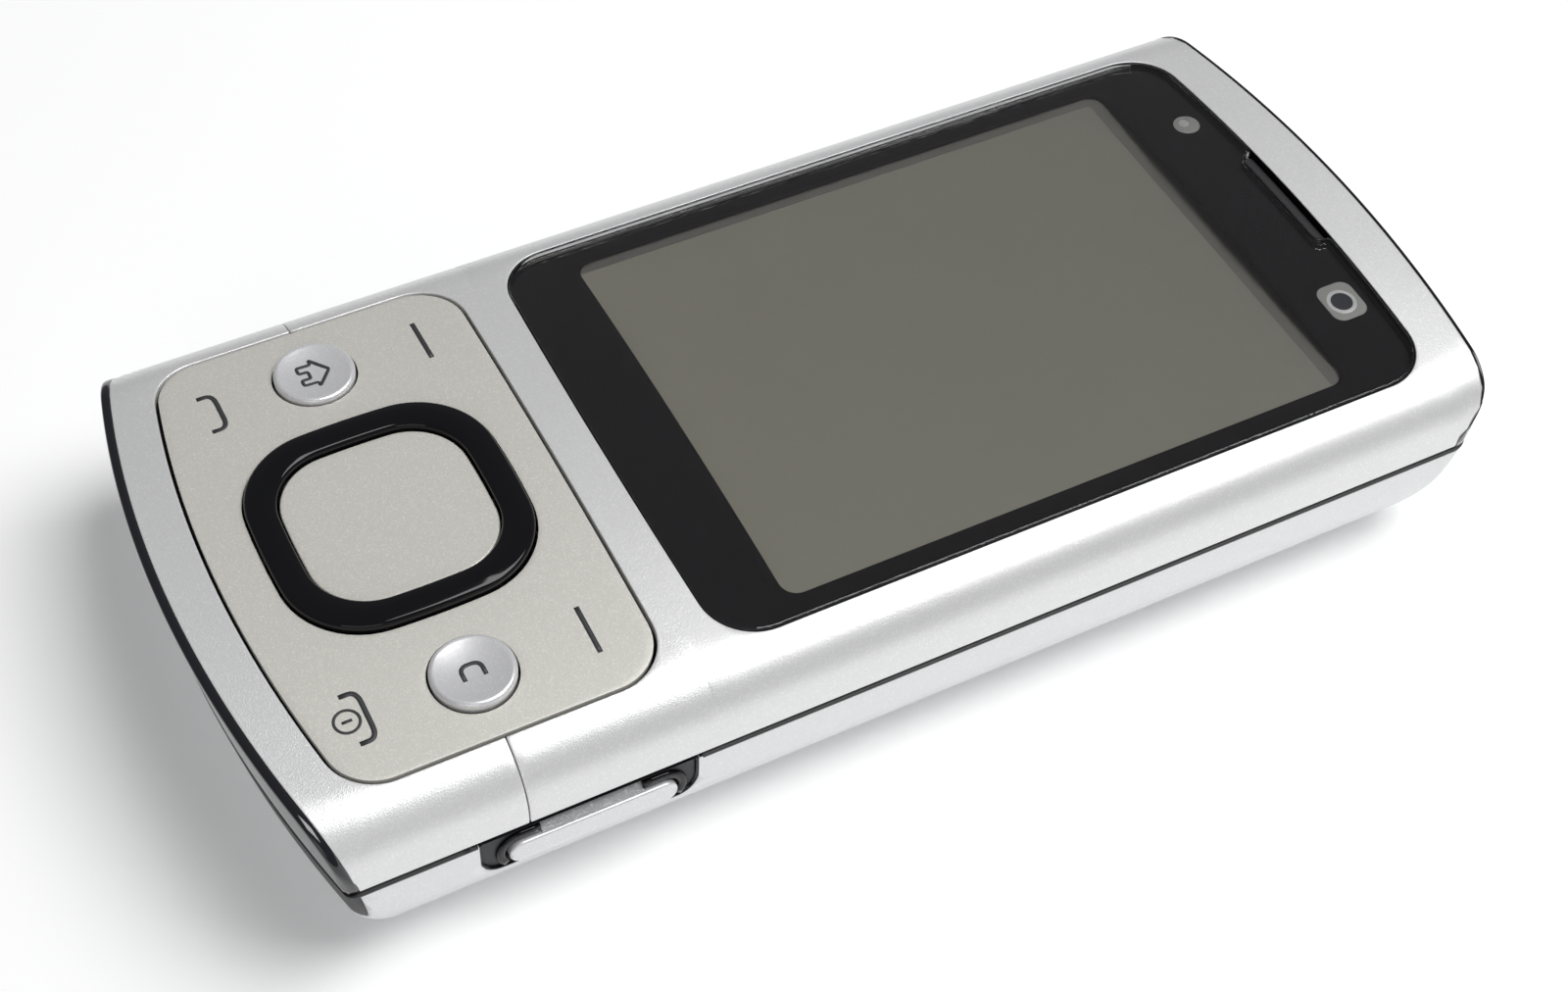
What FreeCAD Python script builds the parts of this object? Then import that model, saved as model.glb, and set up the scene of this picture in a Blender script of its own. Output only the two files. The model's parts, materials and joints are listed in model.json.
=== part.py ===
import FreeCAD, Part
import os
from math import atan2, cos, degrees, radians, sin, sqrt

# Slider phone, closed and lying on its back. Millimetres. X runs across the phone, Y from the
# lower end to the earpiece end and Z from the back up to the screen. The origin is the middle
# of the outline, on the surface the phone lies on. The front half, the slider, travels along
# +Y over the body and uncovers the numeric keypad.

# Outline of the closed phone
LENGTH = 95.2
WIDTH = 46.1
HALF_LENGTH = LENGTH / 2
HALF_WIDTH = WIDTH / 2
CREST_Z = 15.9
CROWN_R = 250.0
SHOULDER_R = 4.5
LOWER_END_R = 88.7
UPPER_END_R = 160.3
LOWER_CORNER_R = 0.8
UPPER_CORNER_R = 2.0
END_LEAN = 0.144
SLIDER_DEPTH = 6.05
SLIDER_GAP = 0.45
SLIDE_TRAVEL = 28.0

# Body's back: rounding of the long edges, how much less the ends are rounded, corner growth
BACK_R = 7.4
END_ROUNDING = 0.6
CORNER_GROWTH = 0.3

# Aluminium front frames and the plastic caps that close the slider's ends
FRAME_WALL = 0.8
LOWER_CAP_T = 0.65
UPPER_CAP_T = 0.3
PLUG_T = 1.2
PLUG_H = 2.6
SEAM_GAP = 0.08

# Metal left on the front: above the window, below it, under the keypad plate, beside both
FOREHEAD = 4.5
STRIP = 3.5
CHIN = 4.0
BORDER = 3.7

# Keypad plate with its four corner keys
PLATE_LENGTH = 24.3
PLATE_WIDTH = WIDTH - 2 * BORDER
PLATE_TOP_CORNER_R = 3.7
PLATE_LOWER_CORNER_R = 3.5
PLATE_LOWER_R = 85.0
PLATE_T = 0.5
PLATE_SUNK = 0.05
PLATE_GAP = 0.25
KEY_SIDE_INSET = 4.95
NUB_X = PLATE_WIDTH / 2 - KEY_SIDE_INSET
NUB_INSET = 4.2
NUB_R = 1.2

# Window glass and its earpiece notch
WINDOW_LENGTH = LENGTH - FOREHEAD - STRIP - PLATE_LENGTH - CHIN
WINDOW_WIDTH = WIDTH - 2 * BORDER
WINDOW_CORNER_R = 3.9
WINDOW_LOWER_R = 375.0
WINDOW_UPPER_R = 281.0
GLASS_T = 1.1
GLASS_PROUD = 0.05
GLASS_CHAMFER = 0.25
NOTCH_WIDTH = 10.5
NOTCH_DEPTH = 1.1
NOTCH_CORNER_R = 0.7

# Navigation ring, select key and the two round keys
PAD_CENTRE_DROP = 11.9
RING_HALF = 9.0
RING_HOLE_HALF = 6.9
RING_BULGE_R = 60.0
RING_CORNER_R = 6.0
RING_HOLE_CORNER_R = 4.5
RING_PROUD = 0.65
RING_ROUND = 0.35
ROUND_KEY_X = NUB_X
ROUND_KEY_R = 2.9
ROUND_KEY_PROUD = 0.5
ROUND_KEY_ROUND = 0.3
ROUND_KEY_DISH = 0.18
KEY_GAP = 0.15
KEY_TRAVEL = 0.3
FLANGE = 0.5
FLANGE_T = 0.3
PLUNGER_R = 1.4

# Layers inside the slider, from its rear plate up
REAR_PLATE_T = 0.6
REAR_PLATE_RECESS = 0.05
UI_BOARD_GAP = 0.4
UI_BOARD_T = 0.6
LAYER_GAP = 0.1
DECK_T = 1.3
DOME_SHEET_T = 0.1
DOME_H = 0.2
DOME_R = 2.0
WEB_T = 0.3
DISPLAY_T = 2.0
DISPLAY_SIDE = 1.15
DISPLAY_DROP = 6.0
DISPLAY_FOOT = 3.9
DISPLAY_WIDTH = WINDOW_WIDTH - 2 * DISPLAY_SIDE
DISPLAY_LENGTH = WINDOW_LENGTH - DISPLAY_DROP - DISPLAY_FOOT
EARPIECE_WIDTH = 12.0
EARPIECE_LENGTH = 5.0
CAMERA_APERTURE_X = 10.7
CAMERA_APERTURE_DROP = 7.1
FIT = 0.1

# Slide mechanism: base plate on the body, carriage under the slider
SLIDE_DEPTH = 2.2
SHEET_T = 0.4
SLIDE_TOP_MARGIN = 5.6
SLIDE_LOW_MARGIN = 30.1
SLIDE_SIDE = 1.65
SLIDE_LENGTH = LENGTH - SLIDE_TOP_MARGIN - SLIDE_LOW_MARGIN
SLIDE_WIDTH = WIDTH - 2 * SLIDE_SIDE
RAIL_LIP = 1.0
RAIL_LIP_T = 0.25
RAIL_H = 2.1
CARRIAGE_END_ROOM = 1.1
CARRIAGE_LENGTH = SLIDE_LENGTH - SLIDE_TRAVEL - CARRIAGE_END_ROOM
CARRIAGE_SCREW_INSET = 7.9
CARRIAGE_SCREW_END = 4.0
CARRIAGE_Z = 1.05
RUNNER_LENGTH = 10.0
RUNNER_WIDTH = 1.9
SPRING_WIRE = 0.5
SPRING_LOOP_R = 4.0
PIN_R = 0.7
FIXED_PIN_INSET = 6.4
MOVING_PIN_X = 4.0
FLEX_WIDTH = 8.0
FLEX_T = 0.15

# Numeric keypad
ROWS = 4
KEYPAD_END_ROOM = 3.2
KEYPAD_SIDE = 2.65
ROW_GAP = 0.7
COLUMN_GAP = 0.6
ROW_PITCH = (SLIDE_TRAVEL - KEYPAD_END_ROOM) / ROWS
COLUMN_PITCH = (WIDTH - 2 * KEYPAD_SIDE) / 3
NUMERIC_KEY_LENGTH = ROW_PITCH - ROW_GAP
NUMERIC_KEY_WIDTH = COLUMN_PITCH - COLUMN_GAP
NUMERIC_KEY_CORNER_R = 1.0
NUMERIC_PROUD = 0.1
NUMERIC_TRAVEL = 0.25
NUMERIC_DOME_R = 1.3
NUMERIC_FLANGE = 0.2
KEYPAD_BEZEL_T = 0.65
KEYPAD_HIDDEN = 1.4
TRIM_DEPTH = 3.2
KEYPAD_BEZEL_LENGTH = SLIDE_TRAVEL - KEYPAD_HIDDEN
KEYPAD_RIM = 1.0
NUMERIC_LOW_MARGIN = 6.7

# Body: walls, battery bay, board and back cover
BODY_WALL = 1.45
POCKET_MARGIN = 3.2
POCKET_LOW_MARGIN = 3.0
LEDGE = 1.3
COVER_SPLIT_Z = 2.4
CAMERA_END = 27.3
COVER_LENGTH = LENGTH - CAMERA_END
COVER_T = 0.8
COVER_CLEAR = 0.15
BATTERY_SIDE = 6.05
BATTERY_T = 3.9
BATTERY_LOW_MARGIN = 11.2
BAY_END = 9.9
HOLDER_ROOM = 9.2
BATTERY_WIDTH = WIDTH - 2 * BATTERY_SIDE
BAY_LENGTH = COVER_LENGTH - BAY_END
BATTERY_LENGTH = BAY_LENGTH - HOLDER_ROOM
BAY_CORNER_R = 0.5
MID_PLATE_T = 0.5
BOARD_T = 0.7
CAN_H = 0.8
SCREW_R = 0.6
SCREW_HEAD_R = 1.1
SCREW_HEAD_T = 0.35
BOSS_R = 1.7
BODY_SCREW_INSET = 5.45
ANTENNA_WIDTH = 26.0
ANTENNA_LENGTH = 3.2

# Camera end of the body
LENS_DROP = 13.6
CAMERA_SIZE = 8.5
CAMERA_T = 4.6
BARREL_R = 3.0
BARREL_LENGTH = 2.0
BARREL_FIT = 0.05
FOCUS_TRAVEL = 0.3
WINDOW_R = 4.2
WINDOW_T = 0.6
BACK_RECESS = 0.15
SPEAKER_X = 12.5
SPEAKER_WIDTH = 9.0
SPEAKER_LENGTH = 13.0
SPEAKER_T = 2.6
FLASH_X = 8.2
MOTOR_R = 2.0
MOTOR_LENGTH = 8.0
WEIGHT_LENGTH = 3.0
SHAFT_R = 0.35

# Camera key on the right side, USB door on the left
SIDE_BEZEL_LENGTH = 15.7
SIDE_BEZEL_INSET = 20.65
SIDE_BEZEL_Y = -HALF_LENGTH + SIDE_BEZEL_INSET
SIDE_BEZEL_DEPTH = 3.5
SIDE_BEZEL_CORNER_R = 1.5
SIDE_KEY_LENGTH = 12.1
SIDE_KEY_H = 2.0
SIDE_KEY_PROUD = 0.3
SIDE_KEY_DROP = 2.2
SIDE_KEY_TRAVEL = 0.6
HOOK_WIDTH = 0.9
USB_INSET = 23.0
USB_Y = HALF_LENGTH - USB_INSET
USB_DOOR_LENGTH = 8.4
USB_DOOR_H = 3.4
USB_DOOR_T = 1.0
USB_WIDTH = 7.5
USB_H = 2.5
USB_DEPTH = 5.5

FAR = 200.0


# Curves and blocks that several pieces share

def vec(x, y, z=0.0):
    return FreeCAD.Vector(x, y, z)


def arc(a, b, c):
    return Part.Arc(vec(*a), vec(*b), vec(*c)).toShape()


def line(a, b):
    return Part.LineSegment(vec(*a), vec(*b)).toShape()


def end_corner(half, crest, bulge, corner, sign):
    """The right-hand corner of an outline's end: where its arc leaves the side, its middle and
    where it meets the end. The end is an arc of radius bulge through (0, crest), or flat where
    bulge is None; sign is +1 for the upper end and -1 for the lower."""
    cx = half - corner
    if bulge is None:
        cy = crest - sign * corner
        ux, uy = 0.0, float(sign)
        meet = (cx, crest)
    else:
        middle = crest - sign * bulge
        reach = bulge - corner
        cy = middle + sign * sqrt(reach ** 2 - cx ** 2)
        ux, uy = cx / reach, (cy - middle) / reach
        meet = (bulge * ux, middle + bulge * uy)
    size = sqrt((1 + ux) ** 2 + uy ** 2)
    half_way = (cx + corner * (1 + ux) / size, cy + corner * uy / size)
    return (half, cy), half_way, meet


def outline(half, low, low_r, low_c, high, high_r, high_c):
    """Closed wire in the XY plane: straight sides at x = +-half, ends that bulge, round corners."""
    side_l, mid_l, end_l = end_corner(half, low, low_r, low_c, -1)
    side_u, mid_u, end_u = end_corner(half, high, high_r, high_c, 1)

    def left(p):
        return (-p[0], p[1])

    edges = [
        line(left(end_l), end_l) if low_r is None else arc(left(end_l), (0, low), end_l),
        arc(end_l, mid_l, side_l),
        line(side_l, side_u),
        arc(side_u, mid_u, end_u),
        line(end_u, left(end_u)) if high_r is None else arc(end_u, (0, high), left(end_u)),
        arc(left(end_u), left(mid_u), left(side_u)),
        line(left(side_u), left(side_l)),
        arc(left(side_l), left(mid_l), left(end_l)),
    ]
    return Part.Wire(edges)


def cushion(cx, cy, half, bulge, corner):
    """Closed wire in the XY plane: a square whose four sides bulge alike, with round corners."""
    a = half - bulge
    reach = bulge - corner
    d = (a + sqrt(2 * reach ** 2 - a ** 2)) / 2
    tangent = (a + bulge * (d - a) / reach, bulge * d / reach)
    tip = d + corner / sqrt(2)

    def turn(p, quarter):
        x, y = p
        for _ in range(quarter):
            x, y = -y, x
        return (cx + x, cy + y)

    edges = []
    for quarter in range(4):
        low = turn((tangent[0], -tangent[1]), quarter)
        high = turn(tangent, quarter)
        edges.append(arc(low, turn((half, 0), quarter), high))
        edges.append(arc(high, turn((tip, tip), quarter), turn((tangent[1], tangent[0]), quarter)))
    return Part.Wire(edges)


def prism(wire, low, high):
    """The wire's face, drawn in the XY plane, from z = low to z = high."""
    face = Part.Face(wire)
    face.translate(vec(0, 0, low))
    return face.extrude(vec(0, 0, high - low))


def bar(wire, low, high):
    """The wire's face, drawn in the XY plane and stood up in XZ, from y = low to y = high."""
    face = Part.Face(wire)
    face.rotate(vec(0, 0), vec(1, 0), 90)
    face.translate(vec(0, low))
    return face.extrude(vec(0, high - low))


def box(x, y, z):
    """A block from three (low, high) pairs."""
    return Part.makeBox(x[1] - x[0], y[1] - y[0], z[1] - z[0], vec(x[0], y[0], z[0]))


def rounded_box(x, y, z, corner):
    """A block whose upright edges are rounded."""
    half = (x[1] - x[0]) / 2
    wire = outline(half, y[0], None, corner, y[1], None, corner)
    wire.translate(vec((x[0] + x[1]) / 2, 0))
    return prism(wire, z[0], z[1])


def disc(x, y, low, high, r):
    return Part.makeCylinder(r, high - low, vec(x, y, low))


def stadium(x, y, z):
    """A block along Y with full-round ends in the YZ plane."""
    r = (z[1] - z[0]) / 2
    middle = (z[0] + z[1]) / 2
    body = box(x, (y[0] + r, y[1] - r), z)
    for end in (y[0] + r, y[1] - r):
        body = body.fuse(Part.makeCylinder(r, x[1] - x[0], vec(x[0], end, middle), vec(1, 0, 0)))
    return body.removeSplitter()


def crown_sag(x):
    """How far the front has dropped below its crest at x."""
    return CROWN_R - sqrt(CROWN_R ** 2 - x ** 2)


def lean(z):
    """How far the ends have drawn in at height z: they lean inwards towards the back."""
    return END_LEAN * (CREST_Z - z)


def leaning_block(half, low, low_r, low_c, high, high_r, high_c):
    """A tall block with the given outline at the crest's height. Each end is a slanting prism,
    and the block is what both have in common."""
    top = CREST_Z + SHOULDER_R
    ends = []
    for sign, wire in (
            (-1, outline(half, low, low_r, low_c, FAR, None, 1.0)),
            (1, outline(half, -FAR, None, 1.0, high, high_r, high_c))):
        face = Part.Face(wire)
        face.translate(vec(0, -sign * lean(top), top))
        ends.append(face.extrude(vec(0, -sign * END_LEAN * top, -top)))
    return ends[0].common(ends[1])


def plan_block(inset=0.0):
    """The slider's outline with its leaning ends, moved inwards by inset."""
    return leaning_block(
        HALF_WIDTH - inset,
        -HALF_LENGTH + inset, LOWER_END_R - inset, max(LOWER_CORNER_R - inset, 0.3),
        HALF_LENGTH - inset, UPPER_END_R - inset, max(UPPER_CORNER_R - inset, 0.3),
    )


def metal_block(inset=0.0):
    """What lies between the end curves of the aluminium frames; wider than the phone."""
    return leaning_block(
        HALF_WIDTH + 3,
        -HALF_LENGTH + LOWER_CAP_T + inset, LOWER_END_R - LOWER_CAP_T, 1.0,
        HALF_LENGTH - UPPER_CAP_T - inset, UPPER_END_R - UPPER_CAP_T, 1.0,
    )


def slider_section(inset, floor):
    """Cross-section of the slider: crowned top, rounded shoulders, open down to z = floor."""
    return outline(
        HALF_WIDTH - inset, floor, None, 0.15,
        CREST_Z - inset, CROWN_R - inset, SHOULDER_R - inset,
    )


def crowned_slab(half, top, thickness, y):
    """A sheet that follows the front's crown, its outer face top above the crest."""
    low_r = CROWN_R + top - thickness
    outer = (half, CREST_Z + top - crown_sag(half))
    inner = (half, CREST_Z + top - thickness - crown_sag(half))
    edges = [
        arc((-inner[0], inner[1]), (0, CREST_Z - CROWN_R + low_r), inner),
        line(inner, outer),
        arc(outer, (0, CREST_Z + top), (-outer[0], outer[1])),
        line((-outer[0], outer[1]), (-inner[0], inner[1])),
    ]
    return bar(Part.Wire(edges), y[0], y[1])


def body_level(inset, angle):
    """The body's outline at one height of its rounded back. At angle 0 it is the flat back, at
    90 degrees the rounding ends and the sides stand upright."""
    r = BACK_R - inset
    z = BACK_R - r * cos(angle)
    side = inset + r * (1 - sin(angle))
    end = inset + END_ROUNDING * r * (1 - sin(angle))
    return body_outline(side, end, z, inset), z


def body_outline(side, end, z, inset):
    growth = CORNER_GROWTH * (BODY_TOP_Z - z) - inset
    end += lean(z)
    return outline(
        HALF_WIDTH - side,
        -HALF_LENGTH + end, LOWER_END_R - end, max(LOWER_CORNER_R + growth, 0.3),
        HALF_LENGTH - end, UPPER_END_R - end, max(UPPER_CORNER_R + growth, 0.3),
    )


def body_block(inset=0.0):
    """The body's outer form, moved inwards by inset: a loft through its outlines."""
    wires = []
    for angle in (0, 18, 36, 54, 72, 90):
        wire, z = body_level(inset, radians(angle))
        wire.translate(vec(0, 0, z))
        wires.append(wire)
    top = body_outline(inset, inset, BODY_TOP_Z, inset)
    top.translate(vec(0, 0, BODY_TOP_Z))
    wires.append(top)
    return Part.makeLoft(wires, True, False)


def between(shape, low, high):
    """The part of a shape between two heights."""
    return shape.common(box((-FAR, FAR), (-FAR, FAR), (low, high)))


def cut_all(shape, tools):
    for tool in tools:
        shape = shape.cut(tool)
    return shape


def fuse_all(shapes):
    whole = shapes[0]
    for shape in shapes[1:]:
        whole = whole.fuse(shape)
    return whole.removeSplitter()


# Heights and places that follow from the sizes above
PARTING_Z = CREST_Z - SLIDER_DEPTH
BODY_TOP_Z = PARTING_Z - SLIDER_GAP
REAR_PLATE_Z = PARTING_Z + REAR_PLATE_RECESS
UI_BOARD_Z = REAR_PLATE_Z + REAR_PLATE_T + UI_BOARD_GAP
INNER_Z = UI_BOARD_Z + UI_BOARD_T + LAYER_GAP
DECK_Z = INNER_Z + DECK_T
DOME_TOP_Z = DECK_Z + DOME_SHEET_T + DOME_H
PLUNGER_Z = DOME_TOP_Z + KEY_TRAVEL + 0.05
WINDOW_HALF = WINDOW_WIDTH / 2
WINDOW_TOP_Y = HALF_LENGTH - FOREHEAD
WINDOW_LOW_Y = WINDOW_TOP_Y - WINDOW_LENGTH
PLATE_HALF = PLATE_WIDTH / 2
PLATE_TOP_Y = WINDOW_LOW_Y - STRIP
PLATE_LOW_Y = PLATE_TOP_Y - PLATE_LENGTH
PAD_Y = PLATE_TOP_Y - PAD_CENTRE_DROP
NUB_TOP_Y = PLATE_TOP_Y - NUB_INSET
NUB_LOW_Y = PLATE_LOW_Y + NUB_INSET
INNER_HALF = HALF_WIDTH - FRAME_WALL - FIT
FLANGE_TOP_Z = CREST_Z - PLATE_SUNK - PLATE_T - crown_sag(ROUND_KEY_X + ROUND_KEY_R + FLANGE) - 0.3
GLASS_UNDER_Z = CREST_Z + GLASS_PROUD - GLASS_T - crown_sag(DISPLAY_WIDTH / 2)
DISPLAY_TOP_Z = GLASS_UNDER_Z - 0.15
DISPLAY_TOP_Y = WINDOW_TOP_Y - DISPLAY_DROP
DISPLAY_LOW_Y = DISPLAY_TOP_Y - DISPLAY_LENGTH
CAMERA_APERTURE_Y = HALF_LENGTH - CAMERA_APERTURE_DROP

BASE_Z = BODY_TOP_Z - SLIDE_DEPTH
BASE_TOP_Z = BASE_Z + SHEET_T
SLIDE_HALF = SLIDE_WIDTH / 2
SLIDE_TOP_Y = HALF_LENGTH - SLIDE_TOP_MARGIN
SLIDE_LOW_Y = SLIDE_TOP_Y - SLIDE_LENGTH
RAIL_INNER = SLIDE_HALF - SHEET_T
RUNNER_OUTER = RAIL_INNER - FIT
RUNNER_INNER = RUNNER_OUTER - RUNNER_WIDTH
CARRIAGE_LOW_Y = SLIDE_LOW_Y + 1.0
CARRIAGE_TOP_Y = CARRIAGE_LOW_Y + CARRIAGE_LENGTH
CARRIAGE_LOW_Z = BASE_TOP_Z + CARRIAGE_Z
SPRING_Z = BASE_TOP_Z + 0.45
BOARD_Z = BASE_Z - LAYER_GAP - BOARD_T
BOARD_TOP_Z = BOARD_Z + BOARD_T
BAY_Z = COVER_T + COVER_CLEAR
BAY_TOP_Z = BAY_Z + BATTERY_T + 0.05
MID_TOP_Z = BAY_TOP_Z + MID_PLATE_T
BATTERY_LOW_Y = -HALF_LENGTH + BATTERY_LOW_MARGIN
BAY_HALF = BATTERY_WIDTH / 2 + 0.6
BAY_LOW_Y = BATTERY_LOW_Y - 0.2
BAY_TOP_Y = BAY_LOW_Y + BAY_LENGTH
COVER_TOP_Y = -HALF_LENGTH + COVER_LENGTH
POCKET_HALF = HALF_WIDTH - BODY_WALL
BOARD_HALF = POCKET_HALF - LEDGE - 0.3
POCKET_TOP_Y = HALF_LENGTH - POCKET_MARGIN
POCKET_LOW_Y = -HALF_LENGTH + POCKET_LOW_MARGIN
KEYPAD_TOP_Y = POCKET_LOW_Y + KEYPAD_BEZEL_LENGTH
BEZEL_Z = BODY_TOP_Z - KEYPAD_BEZEL_T
NUMERIC_DOME_Z = BOARD_TOP_Z + DOME_SHEET_T + 0.15
NUMERIC_PLUNGER_Z = NUMERIC_DOME_Z + NUMERIC_TRAVEL + 0.05
LENS_Y = HALF_LENGTH - LENS_DROP
SIDE_KEY_Z = BODY_TOP_Z - SIDE_KEY_DROP
SIDE_BEZEL_LOW_Z = BODY_TOP_Z - SIDE_BEZEL_DEPTH
TRIM_Z = BODY_TOP_Z - TRIM_DEPTH


# Slider: outer shells

def slider_shell():
    """Aluminium channel: the crowned front and its shoulders, open at the ends and below."""
    outer = bar(slider_section(0.0, PARTING_Z), -FAR, FAR)
    inner = bar(slider_section(FRAME_WALL, PARTING_Z - 5), -FAR, FAR)
    shell = outer.cut(inner)
    return shell.common(plan_block()).common(metal_block())


def window_outline(grow=0.0):
    return outline(
        WINDOW_HALF + grow,
        WINDOW_LOW_Y - grow, WINDOW_LOWER_R + grow, WINDOW_CORNER_R + grow,
        WINDOW_TOP_Y + grow, WINDOW_UPPER_R + grow, WINDOW_CORNER_R + grow,
    )


def plate_outline(grow=0.0):
    """The keypad plate: straight upper edge, curved lower edge. Its two ends have their own
    corner radii, so the wire is drawn as any other."""
    return outline(
        PLATE_HALF + grow,
        PLATE_LOW_Y - grow, PLATE_LOWER_R + grow, PLATE_LOWER_CORNER_R + grow,
        PLATE_TOP_Y + grow, None, PLATE_TOP_CORNER_R + grow,
    )


def frame_openings():
    return [
        prism(window_outline(FIT), DECK_Z, FAR),
        prism(plate_outline(PLATE_GAP), DECK_Z, FAR),
    ]


def upper_frame():
    shell = cut_all(slider_shell(), frame_openings())
    return shell.common(box((-FAR, FAR), (PAD_Y + SEAM_GAP / 2, FAR), (0, FAR)))


def lower_frame():
    shell = cut_all(slider_shell(), frame_openings())
    return shell.common(box((-FAR, FAR), (-FAR, PAD_Y - SEAM_GAP / 2), (0, FAR)))


def end_cap(sign):
    """A plastic cap: the last slice of the slider's outline, and a plug inside the channel."""
    outer = bar(slider_section(0.0, PARTING_Z), -FAR, FAR).common(plan_block())
    flange = outer.cut(metal_block())
    cavity = bar(slider_section(FRAME_WALL + FIT / 2, INNER_Z - 1), -FAR, FAR)
    ring = between(metal_block().cut(metal_block(PLUG_T)), INNER_Z - 1, INNER_Z + PLUG_H)
    plug = cavity.common(ring).common(plan_block(FRAME_WALL))
    cap = flange.fuse(plug).removeSplitter()
    half = (0, FAR) if sign > 0 else (-FAR, 0)
    return cap.common(box((-FAR, FAR), half, (0, FAR)))


def top_end_cap():
    return end_cap(1)


def bottom_end_cap():
    return end_cap(-1)


def window_glass():
    """Crowned glass with a bevelled rim and a notch for the earpiece in its upper edge."""
    slab = crowned_slab(HALF_WIDTH, GLASS_PROUD, GLASS_T, (-HALF_LENGTH, HALF_LENGTH))
    glass = slab.common(prism(window_outline(), 0, FAR))
    notch = rounded_box(
        (-NOTCH_WIDTH / 2, NOTCH_WIDTH / 2),
        (WINDOW_TOP_Y - NOTCH_DEPTH, WINDOW_TOP_Y + 5), (DECK_Z, FAR), NOTCH_CORNER_R)
    return glass.cut(notch)


def slider_back_cover():
    """Pressed steel sheet that closes the slider from behind: slot for the flex cable, four
    screw holes."""
    sheet = prism(cover_plan(FIT), REAR_PLATE_Z, REAR_PLATE_Z + REAR_PLATE_T)
    tools = [flex_slot(REAR_PLATE_Z - 1, REAR_PLATE_Z + 5)]
    for x, y in carriage_screws():
        tools.append(disc(x, y, REAR_PLATE_Z - 1, REAR_PLATE_Z + 5, SCREW_R + 0.05))
    return cut_all(sheet, tools)


def cover_plan(inset):
    """Outline inside the aluminium channel, between the two end caps."""
    end = inset + lean(REAR_PLATE_Z)
    return outline(
        HALF_WIDTH - FRAME_WALL - inset,
        -HALF_LENGTH + LOWER_CAP_T + end, LOWER_END_R, 0.4,
        HALF_LENGTH - UPPER_CAP_T - end, UPPER_END_R, UPPER_CORNER_R,
    )


# Slider: keypad

def keypad_plate():
    """One thin crowned sheet. Its corners are the soft, call and end keys, each with a nub
    behind it that presses a dome."""
    slab = crowned_slab(HALF_WIDTH, -PLATE_SUNK, PLATE_T, (-HALF_LENGTH, 0))
    plate = slab.common(prism(plate_outline(), 0, FAR))
    plate = cut_all(plate, [
        prism(cushion(0, PAD_Y, RING_HALF + KEY_GAP, RING_BULGE_R, RING_CORNER_R), 0, FAR),
        disc(-ROUND_KEY_X, PAD_Y, 0, FAR, ROUND_KEY_R + KEY_GAP),
        disc(ROUND_KEY_X, PAD_Y, 0, FAR, ROUND_KEY_R + KEY_GAP),
    ])
    top = CREST_Z - PLATE_SUNK - PLATE_T / 2 - crown_sag(NUB_X)
    nubs = [disc(x, y, PLUNGER_Z, top, NUB_R) for x, y in nub_places()]
    return fuse_all([plate] + nubs)


def nub_places():
    return [(sx * NUB_X, y) for sx in (-1, 1) for y in (NUB_LOW_Y, NUB_TOP_Y)]


def keypad_web():
    """Silicone sheet under the plate, cut out round the ring, the keys and the nubs."""
    low = FLANGE_TOP_Z - FLANGE_T - FLANGE_T
    sheet = prism(outline(
        PLATE_HALF - 0.9,
        PLATE_LOW_Y + 1.2, PLATE_LOWER_R, PLATE_LOWER_CORNER_R,
        PLATE_TOP_Y - 0.9, None, PLATE_TOP_CORNER_R), low, low + WEB_T)
    tools = [prism(cushion(0, PAD_Y, RING_HALF + 0.75, RING_BULGE_R, RING_CORNER_R), 0, FAR)]
    for sx in (-1, 1):
        tools.append(disc(sx * ROUND_KEY_X, PAD_Y, 0, FAR, ROUND_KEY_R + FLANGE + 0.35))
    for x, y in nub_places():
        tools.append(disc(x, y, 0, FAR, NUB_R + 0.2))
    return cut_all(sheet, tools)


def nav_ring():
    """Black ring: rounded top edges, a flange below the plate that keeps it in."""
    top = CREST_Z - PLATE_SUNK + RING_PROUD
    low = FLANGE_TOP_Z
    body = prism(cushion(0, PAD_Y, RING_HALF, RING_BULGE_R, RING_CORNER_R), low, top)
    hole = prism(cushion(0, PAD_Y, RING_HOLE_HALF, RING_BULGE_R, RING_HOLE_CORNER_R), 0, FAR)
    ring = body.cut(hole)
    rims = [e for e in ring.Edges if abs(e.BoundBox.ZMin - top) < 1e-4]
    ring = ring.makeFillet(RING_ROUND, rims)
    flange = prism(cushion(0, PAD_Y, RING_HALF + FLANGE, RING_BULGE_R, RING_CORNER_R),
                   low, low + FLANGE_T)
    return ring.fuse(flange.cut(hole)).removeSplitter()


def nav_ring_pad():
    """Silicone frame under the ring, on which the ring rocks."""
    low = PLUNGER_Z
    high = FLANGE_TOP_Z - FLANGE_T - 0.05
    outer = prism(cushion(0, PAD_Y, RING_HALF - 0.8, RING_BULGE_R, RING_CORNER_R), low, high)
    inner = cushion(0, PAD_Y, RING_HOLE_HALF + 0.3, RING_BULGE_R, RING_HOLE_CORNER_R)
    return outer.cut(prism(inner, 0, FAR))


def select_key():
    """Flat square key inside the ring, level with the plate, with a plunger below."""
    top = CREST_Z - PLATE_SUNK
    cap = prism(cushion(0, PAD_Y, RING_HOLE_HALF - KEY_GAP, RING_BULGE_R,
                        RING_HOLE_CORNER_R - KEY_GAP), top - 1.4, top)
    rims = [e for e in cap.Edges if abs(e.BoundBox.ZMin - top) < 1e-4]
    cap = cap.makeChamfer(0.15, rims)
    return cap.fuse(disc(0, PAD_Y, PLUNGER_Z, top - 1.4, PLUNGER_R)).removeSplitter()


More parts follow.
